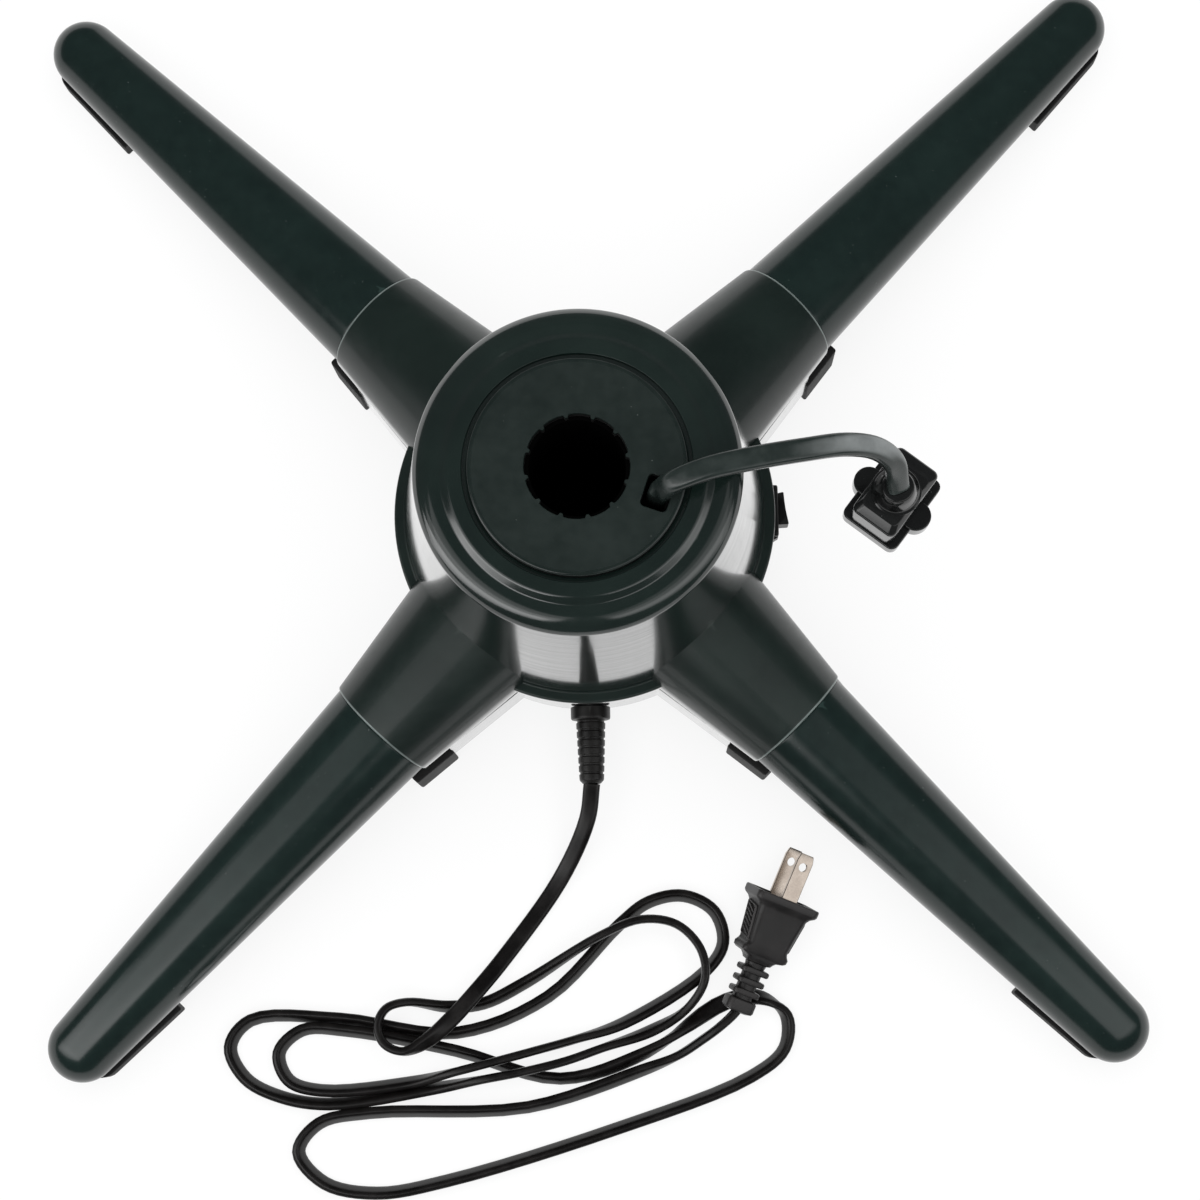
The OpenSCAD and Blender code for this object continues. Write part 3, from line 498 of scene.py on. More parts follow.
def hub_cuts():
    """Room inside, leg bores, leg screws' ways, and the openings for switch and boot."""
    cuts = [revolve("room", hub_room(), 96)]
    bore = [(0, -SOCKET_LEN - 1), (BORE_R, -SOCKET_LEN - 1), (BORE_R, 2), (0, 2)]
    for a in LEG_ANGLES.values():
        cuts.append(revolve("bore", bore, 64, leg_place(a)))
        across = leg_place(a) @ move_by(SOCKET_R + 2.6, 0, -18) @ turn_by(90, "Y")
        cuts.append(revolve("screw_way", [(0, -6), (2, -6), (2, 6), (0, 6)], 24, across))
    side = move_by(0, SWITCH_Y, SWITCH_Z) @ turn_by(90, "Y")
    cuts.append(block("switch_way", 11.4, 16, 0.6, 61, 72, 0.05, side))
    cuts.append(block("frame_way", 13.3, 19.3, 1.3, 65.6, 74, 0.05, side))
    front = move_by(0, 0, BOOT_Z) @ turn_by(90, "X")
    cuts.append(revolve("boot_way", [(0, 61), (6.1, 61), (6.1, 71), (0, 71)], 48, front))
    return cuts


def gap_seat():
    """Ring under the disc's edge that closes the view into the gap."""
    near, middle, far = SKIRT_R + 3.5, SKIRT_R + 5, SKIRT_R + 7.5
    top, bottom = ROOF_Z + 0.05, SKIRT_BOTTOM - 2
    return revolve("seat", rounded([
        (near, bottom, 0.3), (far, bottom, 0.3), (far, top, 0), (middle, top, 0),
        (middle, SKIRT_BOTTOM, 0), (near, SKIRT_BOTTOM, 0)]), 96)


def hub_shell():
    turns = LEG_ANGLES.values()
    hub = revolve("hub", hub_outline(), 192, stepped=7)
    sockets = [revolve("socket", socket_outline(), 96, leg_place(a), stepped=4) for a in turns]
    sockets += [turned_copy("skirt", skirt_plate(way), a) for a in turns for way in (1, -1)]
    parts = [carved("hub_shell", hub, sockets, hub_cuts()), gap_seat()]
    for turn in BASE_SCREW_TURNS:
        spot = turn_by(turn) @ move_by(FOOT_R - WALL - 3.8, 0, FLOOR_Z)
        parts.append(revolve("boss", [(1.6, 0), (4, 0), (4, 15), (1.6, 15)], 32, spot))
    return joined("hub_shell", *parts)


def leg_outline():
    ball = [(TIP_R * math.cos(a), LEG_LEN + TIP_R * math.sin(a))
            for a in [math.radians(90 - 6 * k) for k in range(1, 15)]]
    inner = SPIGOT_R - SPIGOT_WALL
    return [(0, LEG_LEN + TIP_R)] + ball + rounded([
        (TIP_R, LEG_LEN, 0), (LEG_R, 0, 0.5), (SPIGOT_R, 0, 0), (SPIGOT_R, -SPIGOT_LEN, 0.6),
        (inner, -SPIGOT_LEN, 0.4), (inner, 0, 0),
        (TIP_R - WALL, LEG_LEN - 4, 0), (0, LEG_LEN - 4, 0)])


def leg_cutter():
    """The leg's outside, a little larger, to shape what lies against it."""
    tip, root = TIP_R + CLEAR, LEG_R + CLEAR
    ball = [(tip * math.cos(a), LEG_LEN + tip * math.sin(a))
            for a in [math.radians(90 - 10 * k) for k in range(1, 9)]]
    outline = [(0, LEG_LEN + TIP_R + CLEAR)] + ball + [(tip, LEG_LEN), (root, 0), (0, 0)]
    return revolve("leg_cutter", outline, 96, leg_place())


def treads(count, first, pace, long):
    """Grooves across a rubber foot's underside."""
    return [block("tread", 1.6, long, 0.4, -1, 0.8, 0.05, None, first + pace * k)
            for k in range(count)]


def tip_saddle():
    """Rubber saddle under the tip, with rounded edges and treads underneath."""
    side, length = TIP_R + 0.9, 36
    grow = (LEG_R - TIP_R) / (TIP_REACH - SEAM_R) * length
    start = TIP_REACH - length + 2
    nose = [(TIP_REACH + side * 0.62 * math.cos(a), side * math.sin(a))
            for a in [math.radians(-80 + 10 * k) for k in range(17)]]
    outline = [(start, -side - grow), (TIP_REACH, -side), *nose,
               (TIP_REACH, side), (start, side + grow)]
    body = prism("tip_saddle", outline, 0, TIP_Z * 0.62, 0.7)
    return carved("tip_saddle", body, (), [leg_cutter(), *treads(6, start + 5, 5.5, 40)])


def foot_saddle():
    """Rubber foot under a socket's end, wrapped up its flanks."""
    near, length, half, flare = SEAM_R - 12, 17.6, SOCKET_R + 0.4, 2
    outline = [(near, -half - flare), (near + length, -half),
               (near + length, half), (near, half + flare)]
    body = prism("foot_saddle", outline, 0, SEAM_Z - 13, 0.8)
    run, inner = 40, SOCKET_R + CLEAR
    cone = revolve("cone", [(0, -run), (SOCKET_R + run * SOCKET_FLARE + CLEAR, -run),
                            (inner, 0), (inner, run), (0, run)], 96, leg_place())
    return carved("foot_saddle", body, (), [cone, *treads(4, near + 3.4, 3.6, 60)])


def make_hub_and_legs():
    stand_in("hub_shell", hub_shell(), "stand", "hub_plastic", "hub_housing")
    leg = revolve("leg", leg_outline(), 128, leg_place(), stepped=14)
    tip, foot = tip_saddle(), foot_saddle()
    for name, turn in LEG_ANGLES.items():
        for kind, mesh, slot, node in (("long_leg_", leg, "leg_plastic", "leg_"),
                                       ("tip_saddle_", tip, "foot_rubber", "tip_pad_"),
                                       ("foot_saddle_", foot, "foot_rubber", "socket_foot_")):
            stand_in(kind + name, turned_copy(kind + name, mesh, turn), "stand", slot, node + name)


# ---- turntable ----

def toothed_loop(z, grow):
    """Pole hole with small inward teeth and scalloped gaps between them."""
    half = [(0, 16.3), (1.5, 16.35), (2.1, 16.7), (2.7, 17.2), (3.6, 17.4), (9, 17.5), (15, 17.5)]
    pitch = 360 / TEETH
    loop = []
    for i in range(TEETH):
        for turn, r in half + [(pitch - a, r) for a, r in half[-2:0:-1]]:
            a = math.radians(FIRST_TOOTH + i * pitch + turn)
            loop.append(((r + grow) * math.cos(a), (r + grow) * math.sin(a), z))
    return loop


def disc_plate():
    plate = revolve("plate", rounded([
        (0, DISC_UNDER, 0), (DISC_R, DISC_UNDER, 0.3),
        (DISC_R, STAND_H, 1.5), (0, STAND_H, 0)], 6), 192)
    hole = loft("hole", [toothed_loop(z, grow) for z, grow in (
        (DISC_UNDER - 1, 0), (STAND_H - 0.5, 0), (STAND_H - 0.15, 0.1), (STAND_H + 0.1, 0.3),
        (STAND_H + 1, 1.2))])
    at_slot = turn_by(SLOT_TURN) @ move_by(SLOT_REACH, 0, 0)
    slot = loft("slot", [block_loop(9 + g, 11 + g, 1.5 + g / 2, z) for z, g in (
        (DISC_UNDER - 1, 0), (STAND_H - 0.5, 0), (STAND_H - 0.12, 0.25), (STAND_H + 0.1, 0.8),
        (STAND_H + 1, 2))], at_slot)
    inner, top = SKIRT_R - 2.4, DISC_UNDER + 0.05
    skirt = revolve("skirt", [(inner, SKIRT_BOTTOM), (SKIRT_R, SKIRT_BOTTOM),
                              (SKIRT_R, top), (inner, top)], 128)
    return joined("disc_plate", carved("disc_plate", plate, (), [hole, slot]), skirt)


# ---- lead's boot, plug and the hanging outlet ----

def lead_boot():
    """From the cord's end, seven ledges that grow towards a collar against the drum."""
    corners = [(0, 0, 0), (3.3, 0, 0.3), (4.5, 1.3, 0.4)]
    pace = 3.15
    for i in range(7):
        start, r = 1.3 + pace * i, 4.55 + 0.13 * i
        corners += [(r + 0.08, start + 2.1, 0.15), (r - 0.34, start + 2.3, 0.1),
                    (r - 0.3, start + 2.95, 0.1), (r + 0.13, start + pace, 0.15)]
    corners += [(5.4, 23.4, 0.3), (7.1, 23.6, 0.6), (7.3, 24.4, 0.4), (7.3, 28.35, 0.5),
                (6, 28.35, 0), (6, 32.3, 0), (7, 32.3, 0.2), (7, 33.6, 0.3), (0, 33.6, 0)]
    place = move_by(0, -BOOT_END, BOOT_Z) @ turn_by(-90, "X")
    return revolve("lead_boot", rounded(corners, 3), 64, place)


def plug_place():
    """From the plug's own axes, +Z towards the blades, to the stand's."""
    return (move_by(*PLUG_AT) @ turn_by(PLUG_TURN) @ turn_by(90 - PLUG_TILT, "Y")
            @ turn_by(PLUG_ROLL))


RIB_SECTION = ((-0.5, -1), (-0.5, 0.3), (-0.22, 1), (0.22, 1), (0.5, 0.3), (0.5, -1))


def bar(name, start, end, wide, tall, out, place):
    """Small rounded rib between two points, standing out along a direction."""
    a, b, out = Vector(start), Vector(end), Vector(out).normalized()
    along = (b - a).normalized()
    side = along.cross(out)
    loops = []
    for p in (a, a + along * tall * 0.6, b - along * tall * 0.6, b):
        high = tall if p not in (a, b) else tall * 0.35
        loops.append([p + side * (wide * u) + out * (high * v) for u, v in RIB_SECTION])
    return loft(name, loops, place)


def plug_shell():
    """Rows of width, depth, corner and height: end ring, three fins, grip and wide face."""
    rows = [(6.6, 7.4, 2.4, 0), (8.4, 10.3, 2.2, 0.5), (8.8, 11, 2.2, 1.2), (8.8, 11, 2.2, 4.4),
            (8.2, 10.2, 2, 4.9), (6.8, 7, 2.6, 5.2)]
    for i in range(3):
        z, wide = 6.5 + 4.2 * i, 10.6 + 0.3 * i
        rows += [(6.8, 7, 2.6, z), (8.2, wide - 0.7, 1.8, z + 0.15), (8.6, wide, 1.8, z + 0.6),
                 (8.6, wide, 1.8, z + 1.8), (8.2, wide - 0.7, 1.8, z + 2.2), (6.8, 7, 2.6, z + 2.4)]
    rows += [(7, 7.6, 2.4, 19), (8.6, 9.6, 2, 19.4), (9.4, 10.6, 2, 20.4), (10.6, 12, 2, 21.3),
             (12, 16.6, 2, 21.9), (12.6, 18.4, 1.8, 22.6), (13, 18.6, 1.8, 24),
             (13.3, 16.9, 2, 25.2), (13.6, 16.2, 2.2, 26.2), (14.2, 17.2, 2.2, 31),
             (15, 18.6, 2.2, 36.5), (15.6, 19.6, 2.2, 39.6), (16.2, 21.4, 2.2, 40.9),
             (17.4, 24.2, 2.4, 41.8), (18, 25.2, 2.4, 42.6), (18, 25.3, 2.4, 44.5),
             (17.4, 24.7, 2.2, 45), (15.2, 22.4, 1.8, 45), (14.6, 21.8, 1.6, 44.7),
             (14.2, 21.2, 1.6, 43.9)]
    parts = [loft("plug", [block_loop(w, d, c, z) for w, d, c, z in rows], plug_place())]
    return joined("plug_shell", *parts, *grip_ribs(1), *grip_ribs(-1))


def grip_ribs(way):
    """Six slanted ribs in a frame on one side of the grip, which widens along the plug."""
    def on_grip(x, z):
        return (x, way * (8.2 + (z - 26) * 0.147), z)

    out, place, half, rise = (0, way, 0), plug_place(), 3.2, 2.4
    ribs = []
    for k in range(6):
        z = 27.4 + 1.75 * k
        ribs.append(bar("rib", on_grip(-half, z), on_grip(half, z + rise), 0.75, 0.42, out, place))
    corners = [on_grip(*c) for c in ((-4.4, 26.6), (4.4, 27.6), (4.4, 39.6), (-4.4, 38.6))]
    for start, end in zip(corners, corners[1:] + corners[:1]):
        ribs.append(bar("frame", start, end, 0.55, 0.36, out, place))
    return ribs


def plug_pins():
    """Two flat blades with tapered tips and a hole with countersunk edges."""
    rows = [(1.5, 6.34, 43.5), (1.5, 6.34, 60.2), (1.1, 5.5, 62.1), (0.7, 4.9, 62.8)]
    hole_outline = [(0, -2), (2, -2), (1.6, -0.6), (1.6, 0.6), (2, 2), (0, 2)]
    pins = []
    for x in (BLADE_X, -BLADE_X):
        pin = loft("pin", [block_loop(w, d, 0.3, z, x, 0, 3) for w, d, z in rows], plug_place())
        across = plug_place() @ move_by(x, 0, 57.9) @ turn_by(90, "Y")
        pins.append(carved("pin", pin, (), [revolve("hole", hole_outline, 40, across)]))
    return joined("plug_pins", *pins)


def outlet_shell():
    """Hanging outlet, measured downwards from its cord: boss, body, flange and lugs."""
    place = move_by(*TAP_AT) @ turn_by(TAP_TURN) @ Matrix.Scale(-1, 4, (0, 0, 1))
    boss = revolve("boss", rounded([(0, 0, 0), (5.3, 0, 0.7), (6.2, 2, 1), (7.6, 7.4, 0.8),
                                    (8.8, 8.3, 0.3), (8.8, 12, 0), (0, 12, 0)]), 64, place)
    body = loft("body", [block_loop(w, d, c, z) for w, d, c, z in (
        (20.6, 14, 2, 8.3), (21.4, 14.8, 2.2, 8.5), (26.4, 16.8, 2.4, 10.2),
        (27.4, 17.3, 2.4, 10.7), (27.8, 17.5, 2.4, 11.4), (28, 17.6, 2.4, 27))], place)
    flange = block("flange", 29.4, 22.6, 2.8, 26, 34, 0.6, place)
    lug = rounded([(0, 24, 0), (5.3, 24, 0.7), (5.3, 33.6, 0.7), (0, 33.6, 0)])
    lugs = [revolve("lug", lug, 48, place @ move_by(0, y, 0)) for y in (10, -10)]
    slots = [block("slot", 2, 7.2, 0.3, 16, 36, 0.05, place, x) for x in (BLADE_X, -BLADE_X)]
    return carved("outlet_shell", body, [boss, flange, *lugs], slots)


# ---- switch ----

def switch_frame():
    side = move_by(0, SWITCH_Y, SWITCH_Z) @ turn_by(90, "Y")
    frame_plate = block("frame", 13, 19, 1.5, 65.7, 70.6, 0.7, side)
    back = block("back", 9.4, 15.4, 0.8, 49.8, 66.4, 0.3, side)
    wedge = loft("wedge", [block_loop(6, w, 0.3, x, 0, -9.3 - w / 2 + 1) for w, x in (
        (1.6, 66.9), (3.2, 67.2), (1.4, 70.1), (1.2, 70.4))], side)
    window = loft("window", [block_loop(10 + g, 14 + g, 0.8 + g / 2, x) for x, g in (
        (61.4, 0), (70, 0), (70.4, 0.3), (71, 1.4))], side)
    return carved("switch_frame", frame_plate, [back, wedge], [window])


def rocker_cap():
    """Rocker with a shallow dished face; at rest its front end stands out."""
    outline = rounded([(-2.2, -5.3, 0.6), (3.4, -5.7, 0.5), (7.7, -6.1, 0.6), (7.35, 0, 6),
                       (7.7, 6.1, 0.6), (3.4, 5.7, 0.5), (-2.2, 5.3, 0.6)], 5)
    pivot = move_by(PIVOT_X, SWITCH_Y, SWITCH_Z)
    cap = prism("rocker_cap", outline, -4.5, 4.5, 0.45, pivot @ turn_by(ROCKER_TILT))
    pin_outline = rounded([(0, -5.5, 0), (1, -5.5, 0.2), (1, 5.5, 0.2), (0, 5.5, 0)])
    pin = revolve("pin", pin_outline, 32, pivot)
    return carved("rocker_cap", cap, [pin])


# ---- cords ----

def route_length(middle):
    return sum((b - a).length for a, b in zip(middle, middle[1:]))


def make_lead():
    """Boot, plug, blades and the lead between them, which ends inside the plug."""
    stand_in("lead_boot", lead_boot(), "stand", "boot_rubber", "strain_relief")
    plug = stand_in("plug_shell", plug_shell(), "stand", "plug_vinyl", "plug_body", smooth=40)
    pins = stand_in("plug_pins", plug_pins(), "stand", "blade_metal", "plug_blades")
    route = [p if len(p) == 4 else (*p, LEAD_REST_Z, LEAD_LEAN) for p in LEAD_ROUTE]
    route += [(*PLUG_AT, 80), (*plug_place() @ Vector((0, 0, 4)), 70)]
    mesh, middle = cord_mesh("lead", route, cord_section(CORD_W, CORD_T, 0.16), (0, 0, 1))
    lead = new_object("lead", mesh, "stand", "lead_vinyl")
    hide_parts("mains_cord")
    tuple(mm(0, -BOOT_END, BOOT_Z))
    route_length(middle)


def make_outlet():
    """The hanging outlet and its short stiff cord, which ride on the turntable."""
    shell = stand_in("outlet_shell", outlet_shell(), "turntable", "tap_plastic", "outlet_tap")
    section = cord_section(OUTLET_W + 0.8, OUTLET_T + 0.2, 0.05)
    mesh, middle = cord_mesh("outlet_lead", OUTLET_ROUTE, section, (1, -0.4, 0))
    lead = new_object("outlet_lead", mesh, "turntable", "outlet_vinyl")
    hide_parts("outlet_cord")
    tuple(mm(*GRIP_AT, GRIP_Z))
    route_length(middle)


make_hub_and_legs()
stand_in("disc_plate", disc_plate(), "turntable", "disc_plastic", "turntable_disc")
stand_in("switch_frame", switch_frame(), "stand", "black_plastic", "switch_body")
stand_in("rocker_cap", rocker_cap(), "rocker", "rocker_plastic", "switch_rocker")
make_lead()
make_outlet()


# ---- materials ----

class Value:
    """A shader socket that takes part in sums."""

    def __init__(self, net, socket):
        self.net, self.socket = net, socket

    def _math(self, kind, *others, flip=False):
        parts = [self, *others]
        if flip:
            parts = [*others, self]
        return self.net.value("ShaderNodeMath", {"operation": kind}, dict(enumerate(parts)))

    def __add__(self, other): return self._math("ADD", other)
    def __radd__(self, other): return self._math("ADD", other)
    def __sub__(self, other): return self._math("SUBTRACT", other)
    def __rsub__(self, other): return self._math("SUBTRACT", other, flip=True)
    def __mul__(self, other): return self._math("MULTIPLY", other)
    def __rmul__(self, other): return self._math("MULTIPLY", other)
    def clamp(self, low=0.0, high=1.0): return self._math("MAXIMUM", low)._math("MINIMUM", high)


class Net:
    """Node tree of one material."""

    def __init__(self, name):
        self.material = bpy.data.materials.new(name)
        self.material.use_nodes = True
        self.tree = self.material.node_tree
        self.tree.nodes.clear()
        self.shader = self.tree.nodes.new("ShaderNodeBsdfPrincipled")
        self.output = self.tree.nodes.new("ShaderNodeOutputMaterial")
        self.tree.links.new(self.shader.outputs[0], self.output.inputs[0])

    def link(self, node, inputs):
        for key, given in inputs.items():
            target = node.inputs[key]
            if isinstance(given, Value):
                self.tree.links.new(given.socket, target)
            elif given is not None:
                target.default_value = given

    def node(self, kind, settings=None, inputs=None):
        node = self.tree.nodes.new(kind)
        for key, given in (settings or {}).items():
            setattr(node, key, given)
        self.link(node, inputs or {})
        return node

    def value(self, kind, settings=None, inputs=None, output=0):
        return Value(self, self.node(kind, settings, inputs).outputs[output])

    def place(self, scale=(1, 1, 1)):
        """Coordinates on the object itself, in metres times scale."""
        coords = self.value("ShaderNodeTexCoord", output="Object")
        return self.value("ShaderNodeMapping", {}, {"Vector": coords, "Scale": scale})

    def noise(self, size, detail=3, rough=0.5, scale=(1, 1, 1)):
        """Noise from 0 to 1 whose lumps are about size millimetres wide."""
        return self.value("ShaderNodeTexNoise", {}, {
            "Vector": self.place(scale), "Scale": 1 / (size * MM), "Detail": detail,
            "Roughness": rough})

    def ramp(self, value, low, high, to_low=0.0, to_high=1.0):
        return self.value("ShaderNodeMapRange", {"interpolation_type": "SMOOTHSTEP"}, {
            "Value": value, "From Min": low, "From Max": high, "To Min": to_low, "To Max": to_high})

    def mix(self, factor, a, b):
        node = self.node("ShaderNodeMix", {"data_type": "RGBA"})
        self.link(node, {0: factor})
        for index, colour in ((6, a), (7, b)):
            if isinstance(colour, Value):
                self.tree.links.new(colour.socket, node.inputs[index])
            else:
                node.inputs[index].default_value = (*colour, 1)
        return Value(self, node.outputs[2])

    def bump(self, height, strength, distance, normal=None):
        return self.value("ShaderNodeBump", {}, {
            "Strength": strength, "Distance": distance * MM, "Height": height, "Normal": normal})

    def edge_wear(self):
        """About 1 on sharp convex edges, 0.5 on flat faces."""
        return self.value("ShaderNodeNewGeometry", output="Pointiness")

    def vector(self, operation, *inputs, output=0):
        return self.value("ShaderNodeVectorMath", {"operation": operation},
                          dict(enumerate(inputs)), output)

    def from_axis(self):
        """Distance from the stand's own axis, in metres."""
        return self.vector("LENGTH", self.place((1, 1, 0)), output="Value")

    def z_of(self, given):
        return self.value("ShaderNodeSeparateXYZ", {}, {0: given}, "Z")

    def dust(self, most):
        """Scattered fine specks."""
        return self.ramp(self.noise(0.9, 1, 0.3), 0.79, 0.84, 0.0, most)

    def finish(self, **inputs):
        self.link(self.shader, {k.replace("_", " "): v for k, v in inputs.items()})
        return self.material


DUST = (0.22, 0.24, 0.23)


def moulded(name, deep, pale, rough, speck=True, wear=0.5, shine=0.5):
    """Moulded plastic: cloudy colour, uneven gloss, fine grain, dust specks and paler edges."""
    net = Net(name)
    cloud = net.noise(38, 4, 0.6)
    mottle = net.noise(5, 5, 0.6)
    shade = net.ramp(cloud * 0.6 + mottle * 0.4, 0.3, 0.72)
    colour = net.mix(shade, deep, pale)
    if wear:
        edge = net.ramp(net.edge_wear(), 0.52, 0.6, 0.0, wear)
        colour = net.mix(edge, colour, [min(1, c * 2.6 + 0.01) for c in pale])
    gloss = rough + (mottle - 0.5) * (rough * 0.35)
    if speck:
        spot = net.dust(1.0)
        colour = net.mix(spot * 0.35, colour, DUST)
        gloss = gloss + spot * 0.3
    fine = net.noise(0.7, 3, 0.55)
    return net.finish(Base_Color=colour, Roughness=gloss.clamp(0.03, 1),
                      IOR=1.5, Specular_IOR_Level=shine,
                      Normal=net.bump(fine, 0.25, 0.012))


def turned(name, deep, pale, rough):
    """Glossy shell with faint turned lines round its axis and vertical smudges. The sockets are
    a little satin on top, and at the lip where the legs go in have a painted highlight: a pale
    line painted into the colour."""
    net = Net(name)
    cloud = net.noise(30, 4, 0.6)
    colour = net.mix(net.ramp(cloud, 0.3, 0.75), deep, pale)
    lines = net.noise(1, 2, 0.5, (0.02, 0.02, 1.4))
    smudge = net.noise(6, 4, 0.65, (1.6, 1.6, 0.12))
    fine = net.noise(0.8, 3, 0.5)
    facing_up = net.z_of(net.value("ShaderNodeNewGeometry", output="Normal"))
    satin = net.ramp(net.from_axis(), 57 * MM, 62 * MM, 0.0, 0.2) * net.ramp(facing_up, 0.14, 0.26)
    gloss = rough + (lines - 0.5) * 0.1 + (smudge - 0.5) * 0.16 + satin
    coat = (0.9 + (lines - 0.5) * 1.2) * (1 - satin * 4)
    first = net.bump(lines, 0.3, 0.02)
    edge = net.ramp(net.edge_wear(), 0.53, 0.62, 0.0, 0.14)
    colour = net.mix(edge, colour, (0.09, 0.11, 0.1))
    # The four sockets fold onto one, and how far a point lies along it finds the lip, where a
    # highlight is painted in
    level, fall = math.cos(LEG_SLOPE), math.sin(LEG_SLOPE)
    socket_way = (level * 0.5 ** 0.5, level * 0.5 ** 0.5, -fall)
    along = net.vector("DOT_PRODUCT", net.vector("ABSOLUTE", net.place()), socket_way,
                       output="Value")
    seam = SEAM_R * level - SEAM_Z * fall
    # Painted highlight: a pale line in the colour along each socket's lip, in place of the light
    # its rounded end catches
    painted_seam_highlight = net.ramp(along, (seam - 0.95) * MM, (seam - 0.6) * MM) * (0.35 + smudge * 0.6)
    colour = net.mix(painted_seam_highlight, colour, (0.20, 0.24, 0.23))
    return net.finish(Base_Color=colour, Roughness=gloss.clamp(0.05, 1), IOR=1.5,
                      Coat_Weight=coat.clamp(), Coat_Roughness=0.1,
                      Normal=net.bump(fine, 0.15, 0.008, first))


def disc_face(name, deep, pale, rough):
    """Satin disc with a glossier turned rim. Below its top, in its openings and the gap at its
    edge, shade is painted in as near-black colour.
    """
    net = Net(name)
    cloud, mottle = net.noise(30, 4, 0.6), net.noise(4, 5, 0.6)
    colour = net.mix(net.ramp(cloud * 0.55 + mottle * 0.45, 0.3, 0.72), deep, pale)
    rim = net.ramp(net.from_axis(), (DISC_R - 2) * MM, (DISC_R - 1.2) * MM)
    # Painted shade: below the top the colour goes near-black and rougher, in place of the shadow
    # down the openings and the edge gap
    painted_shade_below_top = net.ramp(net.z_of(net.place()), (STAND_H - 1.4) * MM, (STAND_H - 0.4) * MM, 1.0, 0.0)
    dust = net.dust(0.35)
    colour = net.mix(dust, colour, DUST)
    colour = net.mix(painted_shade_below_top, colour, (0.0003, 0.0003, 0.0003))
    gloss = rough * (1 - rim * 0.75) + (mottle - 0.5) * 0.12 + dust * 0.5 + painted_shade_below_top * 0.4
    return net.finish(Base_Color=colour, Roughness=gloss.clamp(0.08, 1), IOR=1.5,
                      Normal=net.bump(net.noise(0.7, 3, 0.55), 0.25, 0.012))


def rubbery(name, deep, pale, rough, grain=1.1, shine=0.5, painted_highlight_way=None):
    """Soft black vinyl or rubber: matt, finely pebbled, scuffed paler on its edges.
    Given a direction, what faces that way gets a painted highlight: a pale sheen painted into the
    colour, where a tight bend catches the light."""
    net = Net(name)
    cloud = net.noise(9, 4, 0.6)
    pebble = net.noise(grain, 3, 0.6)
    colour = net.mix(net.ramp(cloud, 0.35, 0.7), deep, pale)
    edge = net.ramp(net.edge_wear(), 0.52, 0.62, 0.0, 0.6)
    colour = net.mix(edge, colour, [c * 3 + 0.01 for c in pale])
    if painted_highlight_way:
        # Painted highlight: a pale sheen in the colour on what faces the given way
        facing = net.vector("DOT_PRODUCT", net.value("ShaderNodeTexCoord", output="Normal"), painted_highlight_way,
                            output="Value")
        painted_sheen = net.ramp(facing, 0.8, 1.0, 0.0, 0.5) * (0.5 + cloud)
        colour = net.mix(painted_sheen, colour, (0.36, 0.38, 0.38))
    gloss = rough + (cloud - 0.5) * 0.25
    return net.finish(Base_Color=colour, Roughness=gloss.clamp(0.1, 1), IOR=1.48,
                      Specular_IOR_Level=shine, Normal=net.bump(pebble, 0.35, 0.03))


def metal(name, deep, pale, rough, brushed=(1, 1, 1)):
    """Plated or ground metal: fine scratches and tarnish clouds."""
    net = Net(name)
    tarnish = net.noise(7, 5, 0.6)
    scratch = net.noise(0.5, 3, 0.6, brushed)
    colour = net.mix(net.ramp(tarnish, 0.3, 0.7), deep, pale)
    gloss = rough + (scratch - 0.5) * 0.2 + (tarnish - 0.5) * 0.15
    return net.finish(Base_Color=colour, Metallic=1.0, Roughness=gloss.clamp(0.05, 1),
                      Normal=net.bump(scratch, 0.3, 0.01))


def laminate(name, deep, pale):
    """Brown insulating board with a woven grain."""
    net = Net(name)
    weave_x = net.noise(1, 2, 0.5, (3, 0.25, 1))
    weave_y = net.noise(1, 2, 0.5, (0.25, 3, 1))
    colour = net.mix(net.ramp(weave_x * 0.5 + weave_y * 0.5, 0.35, 0.65), deep, pale)
    return net.finish(Base_Color=colour, Roughness=0.55,
                      Normal=net.bump(weave_x + weave_y, 0.3, 0.03))


